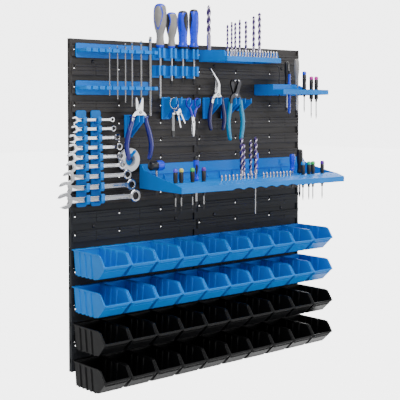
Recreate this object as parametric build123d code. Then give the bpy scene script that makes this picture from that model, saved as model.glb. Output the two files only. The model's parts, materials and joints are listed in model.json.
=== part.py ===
from build123d import *
import math
import os

# Louvred tool wall: four moulded panels carrying rails, clips, brackets, shelves, bins and hand tools.
# Millimetres. X runs along the wall, +Y into the building wall, +Z up.
# Origin: middle of the wall's back plane.

# ---- driving dimensions -------------------------------------------------------------------------
PANEL_W, PANEL_H, PANEL_T = 384.0, 390.0, 14.0    # one moulded panel, two across and two high
ROWS = 9                                          # louvre rows on a panel
ROW = PANEL_H / ROWS                              # louvre pitch
SHEET = 3.0                                       # moulded wall thickness
FRAME = 6.0                                       # width of the solid rim round a panel
BAND_TOP, BAND_BOTTOM = 16.0, 41.3                # raised band, measured down from its row's top
STRIP_Y = -8.0                                    # front of the recessed strip between bands
LIP, GROOVE = 2.5, 6.0                            # upright lip thickness, depth of the groove behind it
SLOT_W, SLOT_H, SLOT_PITCH, SLOT_EDGE = 4.0, 10.0, 128.0, 10.5
SCREW_R, SCREW_X, SCREW_DROP = 2.5, 66.0, 9.0     # fixing hole, its edge distance, its drop below a row top
SCREW_ROWS = (1, 7)
TAB_L, TAB_H, TAB_PITCH = 5.0, 9.5, ROW           # connector tab on a panel's right rim
FRONT = -PANEL_T                                  # front of the bands
PLATE = 3.0                                       # back plate of every holder
FACE = FRONT - PLATE                              # front of those plates
GAP = 0.3                                         # running clearance

BINS_ACROSS, BIN_ROWS = 10, 4
BIN_PITCH = 2 * PANEL_W / BINS_ACROSS
BIN_GAP = 0.6
BIN_W = BIN_PITCH - BIN_GAP
BIN_TAPER = 6.2                                   # how far each side leans in at the floor
BIN_H, BIN_WALL, BIN_RIM = 59.0, 1.8, 3.0
BIN_BACK = -20.0                                  # outside of the bin's back wall
BIN_RIM_LEN, BIN_LIP_LEN, BIN_LIP_DROP, BIN_FLOOR_LEN = 104.0, 122.0, 26.0, 91.0
FIRST_BIN_ROW = 11                                # louvre row, from the top, that carries the first bins

os.makedirs("parts", exist_ok=True)


# ---- small builders -----------------------------------------------------------------------------
def block(x0, x1, y0, y1, z0, z1):
    """A box between two corners."""
    size = Box(abs(x1 - x0), abs(y1 - y0), abs(z1 - z0))
    return Pos((x0 + x1) / 2, (y0 + y1) / 2, (z0 + z1) / 2) * size


def rod(x, y, z0, z1, r, r_top=None):
    """An upright round bar, tapered when r_top is given."""
    height = z1 - z0
    solid = Cylinder(r, height) if r_top is None else Cone(r, r_top, height)
    return Pos(x, y, (z0 + z1) / 2) * solid


def peg(x, y0, y1, z, r):
    """A round bar that runs along Y."""
    return Pos(x, (y0 + y1) / 2, z) * Rot(X=90) * Cylinder(r, abs(y1 - y0))


def bar(a, b, r):
    """A round bar between two points."""
    start, end = Vector(*a), Vector(*b)
    return Solid.make_cylinder(r, (end - start).length, Plane(start, z_dir=end - start))


def along_x(points, x0, x1):
    """A (Y, Z) outline pushed from x0 to x1."""
    face = make_face(Plane.YZ.offset(x0) * Polyline(*points, close=True))
    return extrude(face, x1 - x0, dir=(1, 0, 0))


def along_y(points, y0, y1):
    """An (X, Z) outline pushed from the front y0 back to y1."""
    face = make_face(Plane.XZ.offset(-y1) * Polyline(*points, close=True))
    return extrude(face, y1 - y0, dir=(0, -1, 0))


def strap(path, y0, y1):
    """A flat bar in the XZ plane through (x, z, half width) points, with round joints."""
    faces = []
    for (xa, za, ra), (xb, zb, rb) in zip(path, path[1:]):
        edges = (Pos(xa, za) * Circle(ra)).edges() + (Pos(xb, zb) * Circle(rb)).edges()
        faces.append(make_hull(edges))
    flat = faces[0]
    for face in faces[1:]:
        flat += face
    return extrude(Plane.XZ.offset(-y1) * flat, y1 - y0, dir=(0, -1, 0))


def save(name, *solids):
    """Writes one node as a STEP file."""
    pieces = [s for piece in solids for s in piece.solids()]
    shape = pieces[0] if len(pieces) == 1 else Compound(children=pieces)
    shape.label = name
    export_step(shape, f"parts/{name}.step")


def row_top(row):
    """Height of the top of a louvre row, counted from the top of the wall."""
    return PANEL_H - row * ROW


def band_top(row):
    return row_top(row) - BAND_TOP


# ---- the four wall panels -----------------------------------------------------------------------
def louvre_outline(top):
    """One panel's cross-section: strip, groove, lip and band for each row, all SHEET thick."""
    back_y, deep_y, groove_y = STRIP_Y + SHEET, FRONT + SHEET, FRONT + LIP
    front, back = [], []
    for row in range(ROWS):
        z = top - row * ROW
        lip_z, floor_z, low_z = z - BAND_TOP, z - BAND_TOP - GROOVE, z - BAND_BOTTOM
        front += [(STRIP_Y, z), (STRIP_Y, floor_z), (groove_y, floor_z), (groove_y, lip_z), (FRONT, lip_z)]
        for line in (5.0, 14.0):                  # two fine lines along the band
            y_in = FRONT + 0.5
            front += [(FRONT, lip_z - line), (y_in, lip_z - line - 0.3),
                      (y_in, lip_z - line - 0.9), (FRONT, lip_z - line - 1.2)]
        front += [(FRONT, low_z), (STRIP_Y, low_z)]
        back += [(back_y, z), (back_y, floor_z - SHEET), (deep_y, floor_z - SHEET),
                 (deep_y, low_z + SHEET), (back_y, low_z + SHEET)]
    end = top - PANEL_H
    return front + [(STRIP_Y, end), (back_y, end)] + back[::-1]


def panel(left, top):
    right, bottom = left + PANEL_W, top - PANEL_H
    body = along_x(louvre_outline(top), left + FRAME / 2, right - FRAME / 2)
    rim = block(left, right, -12, 0, bottom, top) - block(left + FRAME, right - FRAME, -13, 1,
                                                           bottom + FRAME, top - FRAME)
    keep_clear = [block(left + FRAME, right - FRAME, -15, STRIP_Y, bottom - 1, top + 1)]
    body = body + (rim - keep_clear[0])
    cuts, adds = [], []
    for row in range(ROWS):
        z = top - row * ROW
        slot_z = z - BAND_TOP - 0.7 - SLOT_H / 2
        for k in range(3):
            x = left + SLOT_EDGE + k * SLOT_PITCH
            cuts.append(block(x - SLOT_W / 2, x + SLOT_W / 2, -20, 5,
                              slot_z - SLOT_H / 2, slot_z + SLOT_H / 2))
            middle = x + SLOT_PITCH / 2 - 4       # fine upright line half way between two slots
            cuts.append(block(middle, middle + 0.8, FRONT - 1, FRONT + 0.5,
                              z - BAND_BOTTOM - 1, z - BAND_TOP + 1))
        tab_z = slot_z + 4
        adds.append(block(right - 1, right + TAB_L, STRIP_Y, STRIP_Y + SHEET,
                          tab_z - TAB_H / 2, tab_z + TAB_H / 2))
        cuts.append(block(left - 1, left + TAB_L + 0.6, STRIP_Y - 0.5, STRIP_Y + SHEET + 0.5,
                          tab_z - TAB_H / 2 - 0.5, tab_z + TAB_H / 2 + 0.5))
        if row in SCREW_ROWS:
            for x in (left + SCREW_X, right - SCREW_X):
                adds.append(peg(x, STRIP_Y + 1, 0, z - SCREW_DROP, 6.5))
    body = body + adds
    for row in SCREW_ROWS:
        for x in (left + SCREW_X, right - SCREW_X):
            cuts.append(peg(x, -20, 5, top - row * ROW - SCREW_DROP, SCREW_R))
    return body - cuts


def make_panels():
    for level, top in (("upper", PANEL_H), ("lower", 0.0)):
        for side, left in (("left", -PANEL_W), ("right", 0.0)):
            save(f"panel_{level}_{side}", panel(left, top))


# ---- holders ------------------------------------------------------------------------------------
def hook(x0, x1, row, from_y=FACE):
    """The inverted J behind a holder: over the louvre's lip and down into the groove."""
    z = band_top(row)
    outline = [(from_y, z + GAP), (-11.2, z + GAP), (-11.2, z - 4.5), (-8.9, z - 4.5),
               (-8.9, z + 2.3), (from_y, z + 2.3)]
    return along_x(outline, x0, x1)


RAIL_X0, RAIL_X1, RAIL_H, RAIL_DEPTH = -371.0, -160.0, 33.0, 58.0
RAIL_TOP_ABOVE_BAND = 5.0
KEY_Y = -46.0
KEYS = (                                          # x, top, foot and across-flats of each hex key
    (-297, 371, 257, 3.0), (-274, 375, 249, 3.5), (-251, 382, 241, 4.0),
    (-231, 387, 231, 4.5), (-204, 391, 226, 5.0), (-176, 403, 209, 7.0),
)
EMPTY_NOTCHES = (-355, -335, -316)


def hex_rail(row):
    """Back plate with a comb shelf whose notches hold the hex keys."""
    top = band_top(row) + RAIL_TOP_ABOVE_BAND
    plate = block(RAIL_X0, RAIL_X1, FACE, FRONT, top - RAIL_H, top)
    plate = fillet(plate.edges().filter_by(Axis.Y), 4)
    shelf = block(RAIL_X0 + 1, RAIL_X1, -RAIL_DEPTH, FACE, top - 21, top - 13)
    shelf = fillet(shelf.edges().filter_by(Axis.Z).group_by(Axis.Y)[0], 3)
    cuts = [block(x - 2.5, x + 2.5, -RAIL_DEPTH - 1, KEY_Y + 2, top - 30, top) for x in EMPTY_NOTCHES]
    for x, _, _, flats in KEYS:
        half = flats / 2 + 0.5
        cuts.append(block(x - half, x + half, -RAIL_DEPTH - 1, KEY_Y + half, top - 30, top))
    lightening = block(RAIL_X0 + 5, RAIL_X1 - 5, KEY_Y + 8, FACE - 4, top - 19, top - 11)
    cuts.append(lightening)
    return plate + shelf - cuts + hook(RAIL_X0 + 20, RAIL_X1 - 20, row)


def hex_key(x, top, foot, flats):
    """Long arm down through both combs, short arm turned out of the wall."""
    long_arm = rod(x, KEY_Y, foot, top - flats, flats / 2)
    reach = 10 + 2.6 * flats
    elbow = (x, KEY_Y, top - flats)
    tip = (x - 0.6 * reach, KEY_Y - 0.8 * reach, top - flats)
    return long_arm + Pos(*elbow) * Sphere(flats / 2) + bar(elbow, tip, flats / 2)


CLIP_X, CLIP_PITCH, CLIP_W, CLIP_H, CLIP_Y = -133.5, 36.5, 26.0, 30.0, -31.0
DRIVERS = (                                       # handle foot, handle top, tip height, handle radius
    (376.5, 485, 238, 15.0), (376.5, 466, 282, 13.5), (376.5, 472, 290, 13.0), (376.5, 478, 288, 12.0),
)
SHAFT_R = 3.0


def driver_clip(x, row):
    """Back plate with a sprung C that grips a screwdriver shaft."""
    top = band_top(row) + 2.5
    plate = block(x - CLIP_W / 2, x + CLIP_W / 2, FACE, FRONT, top - CLIP_H, top)
    low, high = top - CLIP_H + 5, top - 0.5
    stem = block(x - 3, x + 3, CLIP_Y + SHAFT_R + 1, FACE, low, high)
    ring = rod(x, CLIP_Y, low, high, SHAFT_R + 3.2)
    bore = rod(x, CLIP_Y, low - 1, high + 1, SHAFT_R + GAP + 0.1)
    mouth = block(x - 2.2, x + 2.2, CLIP_Y - 12, CLIP_Y, low - 1, high + 1)
    wings = [block(x + s * 3.4, x + s * 10, CLIP_Y - 8.5, CLIP_Y - 5.5, low, high) for s in (-1, 1)]
    cheeks = [block(x + s * 3.4, x + s * 6.2, CLIP_Y - 8.5, CLIP_Y, low, high) for s in (-1, 1)]
    jaws = ring + wings + cheeks
    return plate + stem + jaws - bore - mouth + hook(x - 9, x + 9, row)


def screwdriver(k):
    foot, top, tip, radius = DRIVERS[k]
    x = CLIP_X + k * CLIP_PITCH
    handle = rod(x, CLIP_Y, foot, foot + 12, radius * 0.72, radius * 0.66)
    handle += rod(x, CLIP_Y, foot + 12, foot + 45, radius * 0.66, radius)
    handle += rod(x, CLIP_Y, foot + 45, top - 12, radius)
    handle += rod(x, CLIP_Y, top - 12, top, radius, radius * 0.6)
    return handle, rod(x, CLIP_Y, tip, foot, SHAFT_R)


RACKS = (-371.0, -330.0)                          # left edge of the two upright wrench racks
RACK_W, RACK_TOP, RACK_FOOT = 27.0, 223.0, -3.0
FINGER_W = 9.0
WRENCHES = (                                      # jaw size, length, middle, height of the shaft's top edge
    (8, 120, -331, 205), (9, 127, -331, 184), (10, 144, -329, 163),
    (11, 152, -327, 141), (12, 160, -328, 119), (13, 169, -327.5, 98),
    (15, 194, -324, 75), (17, 218, -324, 51), (19, 235, -320, 24),
)


def wrench_sizes(i):
    """Shaft half height, thickness and depth in front of the wall of wrench i."""
    jaw = WRENCHES[i][0]
    return 0.30 * jaw + 1.6, 0.3 * jaw + 1.6, -28.5 - 1.3 * i


def wrench(i):
    """Open jaw at the left, turned 15 degrees down, and a ring at the right."""
    jaw, length, middle, top = WRENCHES[i]
    half, thick, y = wrench_sizes(i)
    z = top - half
    head, ring = 1.0 * jaw, 0.78 * jaw
    x_open, x_ring = middle - length / 2 + head, middle + length / 2 - ring
    shaft = strap([(x_open, z, half), (x_ring, z, half * 0.8)], y - thick / 2 + 0.6, y + thick / 2 - 0.6)
    open_end = peg(x_open, y - thick / 2, y + thick / 2, z, head)
    ring_end = peg(x_ring, y - thick / 2, y + thick / 2, z, ring)
    slot = Pos(x_open, y, z) * Rot(Y=-15) * Pos(-head * 0.85, 0, 0) * Box(head * 1.7, thick + 2, jaw * 1.04)
    return shaft + open_end + ring_end - slot - peg(x_ring, y - thick, y + thick, z, jaw * 0.5)


def wrench_rack(left):
    """Upright plate with one upturned finger under each wrench."""
    plate = block(left, left + RACK_W, FACE, FRONT, RACK_FOOT, RACK_TOP)
    plate = fillet(plate.edges().filter_by(Axis.Y), 5)
    middle = left + RACK_W / 2
    for i, (_, _, _, top) in enumerate(WRENCHES):
        half, thick, y = wrench_sizes(i)
        seat, front = top - 2 * half, y - thick / 2 - 0.3
        outline = [(FACE, seat - 6), (front - 1, seat - 4), (front - 4.5, seat + 2), (front - 4.0, top + 1.5),
                   (front - 1.5, top + 3), (front, top - 1), (front, seat), (FACE, seat)]
        plate += along_x(outline, middle - FINGER_W / 2, middle + FINGER_W / 2)
    return plate + hook(left + 4, left + RACK_W - 4, 4) + hook(left + 4, left + RACK_W - 4, 8)


ARM = 3.0
ARM_TIP = -66.0
ARM_LIP = 3.0                                     # how far the plate and the arm's nose rise above its seat


def bracket(x0, x1, seat, row, arms, height=52.0, tip=ARM_TIP, nose=14.0):
    """Back plate with two tapering, upturned arms; arms gives each arm's left side."""
    plate = block(x0, x1, FACE, FRONT, seat - height, seat + ARM_LIP)
    outline = [(FACE, seat + ARM_LIP), (FACE - 4, seat), (tip + 3.6, seat), (tip + 2.8, seat + ARM_LIP),
               (tip, seat + ARM_LIP), (tip, seat - nose), (tip + 6, seat - nose - 3), (FACE, seat - height)]
    for x in arms:
        plate += along_x(outline, x, x + ARM)
    return plate + hook(x0 + 3, x1 - 3, row)


BRACKETS = {                                      # x0, x1, seat, louvre row, left side of each arm
    "bracket_pliers": (-232, -207, 208.6, 4, (-226, -213)),
    "bracket_keys": (-117, -91, 252, 3, (-112, -94)),
    "bracket_scissors": (-66, -31, 248.6, 3, (-66, -34)),
    "bracket_bent_nose": (20, 46, 252, 3, (25, 38)),
    "bracket_cutters": (84, 110, 252, 3, (90, 103)),
}


def spare_bracket():
    return bracket(138, 163, 250, 3, (138, 160), height=30, tip=-50, nose=9)


# ---- the shelves --------------------------------------------------------------------------------
DS_X0, DS_X1, DS_FRONT, DS_TOP, DS_DECK, DS_FOOT = 9.0, 200.0, -121.0, 377.0, 358.0, 345.5
DRILLS = (                                        # x, y, top and diameter of the drills on the drill shelf
    (24, -34, 492, 10), (49, -78, 441, 5), (58, -84, 448, 5), (76, -78, 448, 5.5), (90, -80, 456, 5.5),
    (112, -80, 454, 6), (140, -80, 468, 7), (161, -80, 478, 7.5),
)
BIT_R, BIT_LEN = 3.1, 26.0
SHELF_BITS, SHELF_BIT_Y = 18, -113.0


def shelf_bit_x(k):
    return DS_X0 + 9 + k * (DS_X1 - DS_X0 - 18) / (SHELF_BITS - 1)


def drill_shelf():
    """Box shelf: tall sides, a drilled deck and a lower front face."""
    deck = block(DS_X0, DS_X1, DS_FRONT, FACE, DS_DECK - 4, DS_DECK)
    face = block(DS_X0, DS_X1, DS_FRONT, DS_FRONT + 3, DS_FOOT, DS_DECK)
    plate = block(DS_X0, DS_X1, FACE, FRONT, 347, DS_TOP)
    side = [(FACE, DS_TOP), (DS_FRONT + 12, DS_TOP - 4), (DS_FRONT + 9, DS_DECK), (DS_FRONT, DS_DECK),
            (DS_FRONT, DS_FOOT), (FACE, 347)]
    ends = [along_x(side, DS_X0, DS_X0 + 3), along_x(side, DS_X1 - 3, DS_X1)]
    rest = block(DS_X0, DS_X1, DS_FRONT, DS_FRONT + 16, DS_FOOT + 1, DS_FOOT + 3)
    body = deck + face + plate + ends + rest
    holes = [rod(x, y, DS_DECK - 8, DS_DECK + 5, d / 2 + 0.3) for x, y, _, d in DRILLS]
    bits = [shelf_bit_x(k) for k in range(SHELF_BITS)]
    holes += [rod(x, SHELF_BIT_Y, DS_DECK - 8, DS_DECK + 5, BIT_R + 0.3) for x in bits]
    return body - holes + hook(DS_X0 + 8, DS_X1 - 8, 0)


def drill(x, y, foot, top, d):
    """Cylindrical shank below, fluted part above with a point."""
    return rod(x, y, foot, top - d * 0.45, d / 2) + rod(x, y, top - d * 0.45, top, d / 2, 0.3)


SS_X0, SS_X1, SS_FRONT, SS_TOP, SS_DECK, SS_FOOT = 207.0, 384.0, -124.0, 291.0, 277.0, 264.0
SS_STEP_X, SS_STEP_Y = 300.0, -85.0
SHELF_DRIVERS = ((306, -106, 327, 215), (334, -106, 314, 200), (354, -106, 314, 198))
SCRIBER = (277, -78, 329, 201)
SHELF_HOOK_PICK = (255, -62, 342, 240)
SHELF_GREY = (316, -68, 362, 208)
SHELF_BLACK = (300, -46, 356, 215)


def small_shelf():
    """Shelf with a raised block at the left and a low deck along the front and the right."""
    low = block(SS_X0, SS_X1, SS_FRONT, FACE, SS_DECK - 4, SS_DECK)
    high = block(SS_X0, SS_STEP_X, SS_STEP_Y, FACE, SS_TOP - 4, SS_TOP)
    front = block(SS_X0, SS_X1, SS_FRONT, SS_FRONT + 3, SS_FOOT, SS_DECK)
    riser = block(SS_X0, SS_STEP_X, SS_STEP_Y, SS_STEP_Y + 3, SS_DECK - 4, SS_TOP)
    plate = block(SS_X0, SS_X1, FACE, FRONT, 262, SS_TOP)
    left = [(FACE, SS_TOP), (SS_STEP_Y, SS_TOP), (SS_STEP_Y, SS_DECK), (SS_FRONT, SS_DECK),
            (SS_FRONT, SS_FOOT), (FACE, 262)]
    right = [(FACE, SS_TOP), (-40, SS_DECK + 3), (SS_FRONT, SS_DECK), (SS_FRONT, SS_FOOT), (FACE, 262)]
    body = low + high + front + riser + plate
    body = body + along_x(left, SS_X0, SS_X0 + 3) + along_x(right, SS_X1 - 3, SS_X1)
    body += rod(SHELF_GREY[0], SHELF_GREY[1], SS_DECK - 1, SS_DECK + 5, 7)
    holes = [rod(x, y, SS_DECK - 8, SS_DECK + 3, 5.4) for x, y, _, _ in SHELF_DRIVERS]
    holes.append(rod(SCRIBER[0], SCRIBER[1], SS_DECK - 8, SS_TOP + 3, 4.6))
    holes.append(rod(SHELF_HOOK_PICK[0], SHELF_HOOK_PICK[1], SS_DECK - 8, SS_TOP + 3, 2.4))
    holes.append(rod(SHELF_GREY[0], SHELF_GREY[1], SS_DECK - 8, SS_DECK + 9, 3.4))
    holes.append(rod(SHELF_BLACK[0], SHELF_BLACK[1], SS_DECK - 8, SS_TOP + 3, 3.4))
    return body - holes + hook(SS_X0 + 8, SS_X1 - 8, 2)


TR_X0, TR_X1, TR_FRONT, TR_FOOT, TR_BACK_TOP = -185.0, 391.0, -176.0, 28.0, 90.0
TR_FLOOR, TR_LEDGE = 44.0, 50.0
TR_LEDGE_Y0, TR_LEDGE_Y1 = -122.0, -150.0
PRECISION_Y = -138.0
TRAY_PRECISION = (-173, -155, -120, -84, 268, 291, 307, 344)
TRAY_BITS = ((-34, 81, 10), (110, 208, 9))        # first x, last x, count of each group of hex bits
TRAY_BIT_Y = -148.0
TRAY_DRILLS = ((70, -108, 153, 8), (83, -103, 136, 7), (107, -103, 147, 7), (119, -109, 154, 8))
ROD_X, ROD_Y, ROD_FOOT = 119.0, -109.0, -46.0
TRAY_DRIVER = (-86, -112, 111, -14)
TRAY_BLUE = (172, -60, 108, 20)
TRAY_BLACK = (300, -96, 116, -15)
TRAY_SECOND = (279, -88, 103, 10)
T_HANDLE = (-170, -62, 101, 15)
SCALLOPS, SCALLOP_PITCH, SCALLOP_X = 6, 38.5, -24.0


def tray_bit_x():
    places = []
    for first, last, count in TRAY_BITS:
        places += [first + k * (last - first) / (count - 1) for k in range(count)]
    return places


def tray():
    """Wide tray: high back, falling sides, sunk floor, raised and drilled ledge, sloping nose."""
    skin = 3.5
    deck = [(FACE, TR_FLOOR), (-115, TR_FLOOR), (TR_LEDGE_Y0, TR_LEDGE), (TR_LEDGE_Y1, TR_LEDGE),
            (TR_FRONT, 42), (TR_FRONT, TR_FOOT), (TR_FRONT + 3, TR_FOOT), (TR_FRONT + 3, 42 - skin),
            (TR_LEDGE_Y1 + 1, TR_LEDGE - skin), (TR_LEDGE_Y0 - 1, TR_LEDGE - skin),
            (-114, TR_FLOOR - skin), (FACE, TR_FLOOR - skin)]
    body = along_x(deck, TR_X0, TR_X1)
    body += block(TR_X0, TR_X1, FACE, FRONT, 31, TR_BACK_TOP)
    side = [(FACE, TR_BACK_TOP), (-21, TR_BACK_TOP), (-30, 77), (-56, 68), (-87, 62), (-113, 56), (-151, 49.5),
            (TR_FRONT, 42), (TR_FRONT, TR_FOOT), (FACE, 31)]
    body = body + along_x(side, TR_X0, TR_X0 + 3) + along_x(side, TR_X1 - 3, TR_X1)
    holes = [rod(x, PRECISION_Y, 30, 60, 5.4) for x in TRAY_PRECISION]
    holes += [rod(x, TRAY_BIT_Y, 40, 60, BIT_R + 0.3) for x in tray_bit_x()]
    holes += [rod(x, y, 30, 60, d / 2 + 0.3) for x, y, _, d in TRAY_DRILLS]
    holes += [rod(x, y, 30, 60, 3.4) for x, y, _, _ in (TRAY_DRIVER, TRAY_BLUE, TRAY_BLACK, TRAY_SECOND)]
    holes.append(rod(T_HANDLE[0], T_HANDLE[1], 30, 60, 3.4))
    holes += [rod(235 + k * 17, -160, 30, 60, 2.5) for k in range(8)]
    for x0, x1, y in ((-140, -60, -34), (-20, 60, -34), (190, 262, -34), (-130, -40, -86), (180, 260, -86)):
        holes.append(block(x0, x1, y - 1.9, y + 1.9, 30, 60))
    for k in range(SCALLOPS):
        x = SCALLOP_X + (k + 0.5) * SCALLOP_PITCH
        holes.append(peg(x, TR_FRONT - 1, TR_FRONT + 4, TR_FOOT - 34, 38))
    return body - holes + hook(TR_X0 + 10, -8, 7) + hook(8, PANEL_W - 8, 7)


# ---- tools that stand in the shelves ------------------------------------------------------------
def precision_driver(x, y, top, tip):
    """Slim handle with a round swivel cap and a thin blade."""
    handle = rod(x, y, top - 62, top - 8, 4.9)
    cap = rod(x, y, top - 8, top - 3, 4.9, 4.2) + rod(x, y, top - 3, top, 4.2, 2.0)
    neck = rod(x, y, top - 70, top - 62, 2.6, 4.9)
    return handle + cap + neck + rod(x, y, tip, top - 70, 1.3)


def plain_driver(x, y, top, foot, tip, radius, shaft):
    """Handle of one width with a shaft through the shelf."""
    handle = rod(x, y, foot, foot + 8, radius * 0.7, radius) + rod(x, y, foot + 8, top - 5, radius)
    return handle + rod(x, y, top - 5, top, radius, radius * 0.7), rod(x, y, tip, foot, shaft)


def hex_bit(x, y, foot):
    """Insert bit: hexagonal drive below, slim waist, tip above."""
    drive = Pos(x, y, foot + 5.5) * extrude(RegularPolygon(BIT_R, 6), 5.5, both=True)
    return drive + rod(x, y, foot + 11, foot + 20, 1.9) + rod(x, y, foot + 20, foot + BIT_LEN, 2.4, 1.6)


def make_shelf_tools():
    save("shelf_drills", *[drill(x, y, DS_FOOT + 4, top, d) for x, y, top, d in DRILLS])
    save("shelf_bits", *[hex_bit(shelf_bit_x(k), SHELF_BIT_Y, DS_FOOT + 4) for k in range(SHELF_BITS)])
    save("shelf_precision_drivers", *[precision_driver(*d) for d in SHELF_DRIVERS])
    x, y, top, tip = SCRIBER
    scriber = rod(x, y, tip + 12, top - 8, 4.0) + rod(x, y, top - 8, top, 4.0, 1.2)
    scriber += rod(x, y, tip, tip + 12, 0.6, 1.6)
    x, y, top, foot = SHELF_HOOK_PICK
    pick = rod(x, y, foot, top - 6, 1.9) + Pos(x, y, top - 6) * Sphere(1.9)
    pick += bar((x, y, top - 6), (x - 14, y, top), 1.5)
    save("scribers", scriber, pick)
    x, y, top, tip = SHELF_GREY
    grey = plain_driver(x, y, top, SS_DECK + 5.2, tip, 7.5, 3.0)
    x, y, top, tip = SHELF_BLACK
    black = plain_driver(x, y, top, SS_TOP + 0.2, tip, 6.5, 3.0)
    save("shelf_drivers", *grey, *black)


def make_tray_tools():
    save("tray_precision_drivers", *[precision_driver(x, PRECISION_Y, 85, -19) for x in TRAY_PRECISION])
    save("tray_bits", *[hex_bit(x, TRAY_BIT_Y, TR_LEDGE - 12) for x in tray_bit_x()])
    drills = [drill(x, y, 36, top, d) for x, y, top, d in TRAY_DRILLS]
    save("tray_drills", *drills, rod(ROD_X, ROD_Y, ROD_FOOT, 35.9, 1.6))
    tools = ()
    x, y, top, tip = TRAY_DRIVER
    tools += plain_driver(x, y, top, TR_FLOOR + 6.2, tip, 7.0, 3.0)
    x, y, top, tip = TRAY_BLUE
    tools += plain_driver(x, y, top, TR_FLOOR + 20, tip, 5.0, 2.0)
    x, y, top, tip = TRAY_BLACK
    tools += plain_driver(x, y, top, TR_FLOOR + 6, tip, 8.5, 3.0)
    x, y, top, tip = TRAY_SECOND
    tools += plain_driver(x, y, top, TR_FLOOR + 14, tip, 7.5, 3.0)
    save("tray_drivers", *tools)
    x, y, top, tip = T_HANDLE
    grip = Pos(x, y, top - 13) * Rot(Y=90) * Cylinder(12.5, 42)
    save("tray_t_handle", grip, rod(x, y, tip, top - 25.5, 3.0))


# ---- hinged hand tools --------------------------------------------------------------------------
TOOL_Y = -56.0                                    # the plane in which pliers hang
LAP = 5.2                                         # thickness of one half of a lap joint
PIVOT_R = 9.2


def pliers_half(cx, pz, side, jaw, handle, first_grip):
    """One half: jaw on one side of the pivot, handle on the other. side is the handle's side."""
    y0, y1 = (TOOL_Y - LAP - 0.15, TOOL_Y - 0.15) if side < 0 else (TOOL_Y + 0.15, TOOL_Y + LAP + 0.15)
    steel = [(cx - side * x, pz + z, r) for x, z, r in jaw] + [(cx, pz, PIVOT_R)]
    steel += [(cx + side * x, pz + z, r) for x, z, r in handle[:first_grip]]
    neck_x, neck_z, neck_r = handle[first_grip]
    steel.append((cx + side * neck_x, pz + neck_z, neck_r * 0.8))
    grip = [(cx + side * x, pz + z, r) for x, z, r in handle[first_grip:]]
    metal = strap(steel, y0, y1)
    sleeve = strap(grip, TOOL_Y - 5.5, TOOL_Y + 5.5)
    return metal - sleeve, sleeve


# middle x, pivot z, jaw points, handle points, index of the handle point where the grip starts
PLIERS = {
    "combination_pliers": (-218, 218.2, ((8, 32, 2.4), (6.5, 14, 5.0)),
                           ((14, -2, 5.0), (20, -8, 4.4), (22, -26, 5.5), (31, -48, 5.8), (37, -74, 5.8),
                            (35, -95, 5.4), (30, -111, 4.8)), 1),
    "bent_nose_pliers": (33, 262.0, ((24, 66, 1.6), (9, 46, 3.2), (3.5, 16, 4.6)),
                         ((13, -2, 4.8), (18.5, -10, 4.2), (20, -26, 5.2), (24.5, -52, 5.4), (25, -70, 5.2),
                          (21, -88, 4.6)), 1),
    "end_cutters": (98, 262.0, ((17, 38, 3.0), (15, 28, 4.0), (6, 12, 4.6)),
                    ((13, -2, 4.8), (18, -11, 4.4), (20, -35, 5.6), (25.5, -65, 5.8), (24, -90, 5.6),
                     (19, -115, 5.0)), 1),
}


def make_pliers():
    for name, (cx, pz, jaw, handle, first_grip) in PLIERS.items():
        for side, label in ((-1, "left"), (1, "right")):
            bent = jaw
            if name == "bent_nose_pliers":        # both jaws of this one bend to the left
                bent = tuple((side * x if z > 40 else x, z, r) for x, z, r in jaw)
            save(f"{name}_{label}", *pliers_half(cx, pz, side, bent, handle, first_grip))


SC_X, SC_PIVOT, SC_TIP, SC_Y = -48.5, 193.0, 157.0, -57.0
LOOP_Z, LOOP_DX, LOOP_R = 240.5, 14.0, 10.0


def scissors_half(side):
    """Blade below the pivot on one side, finger loop above on the other."""
    y0, y1 = (SC_Y - 2.15, SC_Y - 0.15) if side < 0 else (SC_Y + 0.15, SC_Y + 2.15)
    blade = strap([(SC_X - side * 1.0, SC_TIP, 1.2), (SC_X - side * 1.5, SC_PIVOT - 12, 3.4),
                   (SC_X, SC_PIVOT, 5.0), (SC_X + side * 3.0, 207, 3.0)], y0, y1)
    lx = SC_X + side * LOOP_DX
    loop = strap([(lx, LOOP_Z + 3, LOOP_R), (lx, LOOP_Z - 3, LOOP_R)], SC_Y - 3.5, SC_Y + 3.5)
    shank = strap([(SC_X + side * 4.6, 211, 3.4), (lx - side * 3, LOOP_Z - 10, 3.2)], SC_Y - 3.5, SC_Y + 3.5)
    hole = strap([(lx, LOOP_Z + 3, LOOP_R - 2.6), (lx, LOOP_Z - 3, LOOP_R - 2.6)], SC_Y - 5, SC_Y + 5)
    handle = loop + shank - hole
    return blade - handle, handle


# ---- tape roll and key ring ---------------------------------------------------------------------
ROLL_X, ROLL_Z, ROLL_R, ROLL_BORE = -223.5, 102.7, 28.5, 13.5
ROLL_Y0, ROLL_Y1 = -28.6, -17.8
RING_X, RING_Y, RING_R, WIRE = -110.5, -58.0, 13.6, 1.0
ARM_TOP = 252.0
RING_Z = ARM_TOP + GAP + WIRE - RING_R


def tape_hook():
    """Plate with an upward sloping peg through the roll."""
    plate = block(ROLL_X - 12, ROLL_X + 12, FACE, FRONT, 78, 120)
    arm = bar((ROLL_X, FACE, 103), (ROLL_X, -46, 124), 3.5)
    return plate + arm + Pos(ROLL_X, -46, 124) * Sphere(3.5)


def tape_roll():
    return peg(ROLL_X, ROLL_Y0, ROLL_Y1, ROLL_Z, ROLL_R) - peg(ROLL_X, -40, 0, ROLL_Z, ROLL_BORE)


def key_ring():
    return Pos(RING_X, RING_Y, RING_Z) * Rot(X=90) * Torus(RING_R, WIRE)


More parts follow.
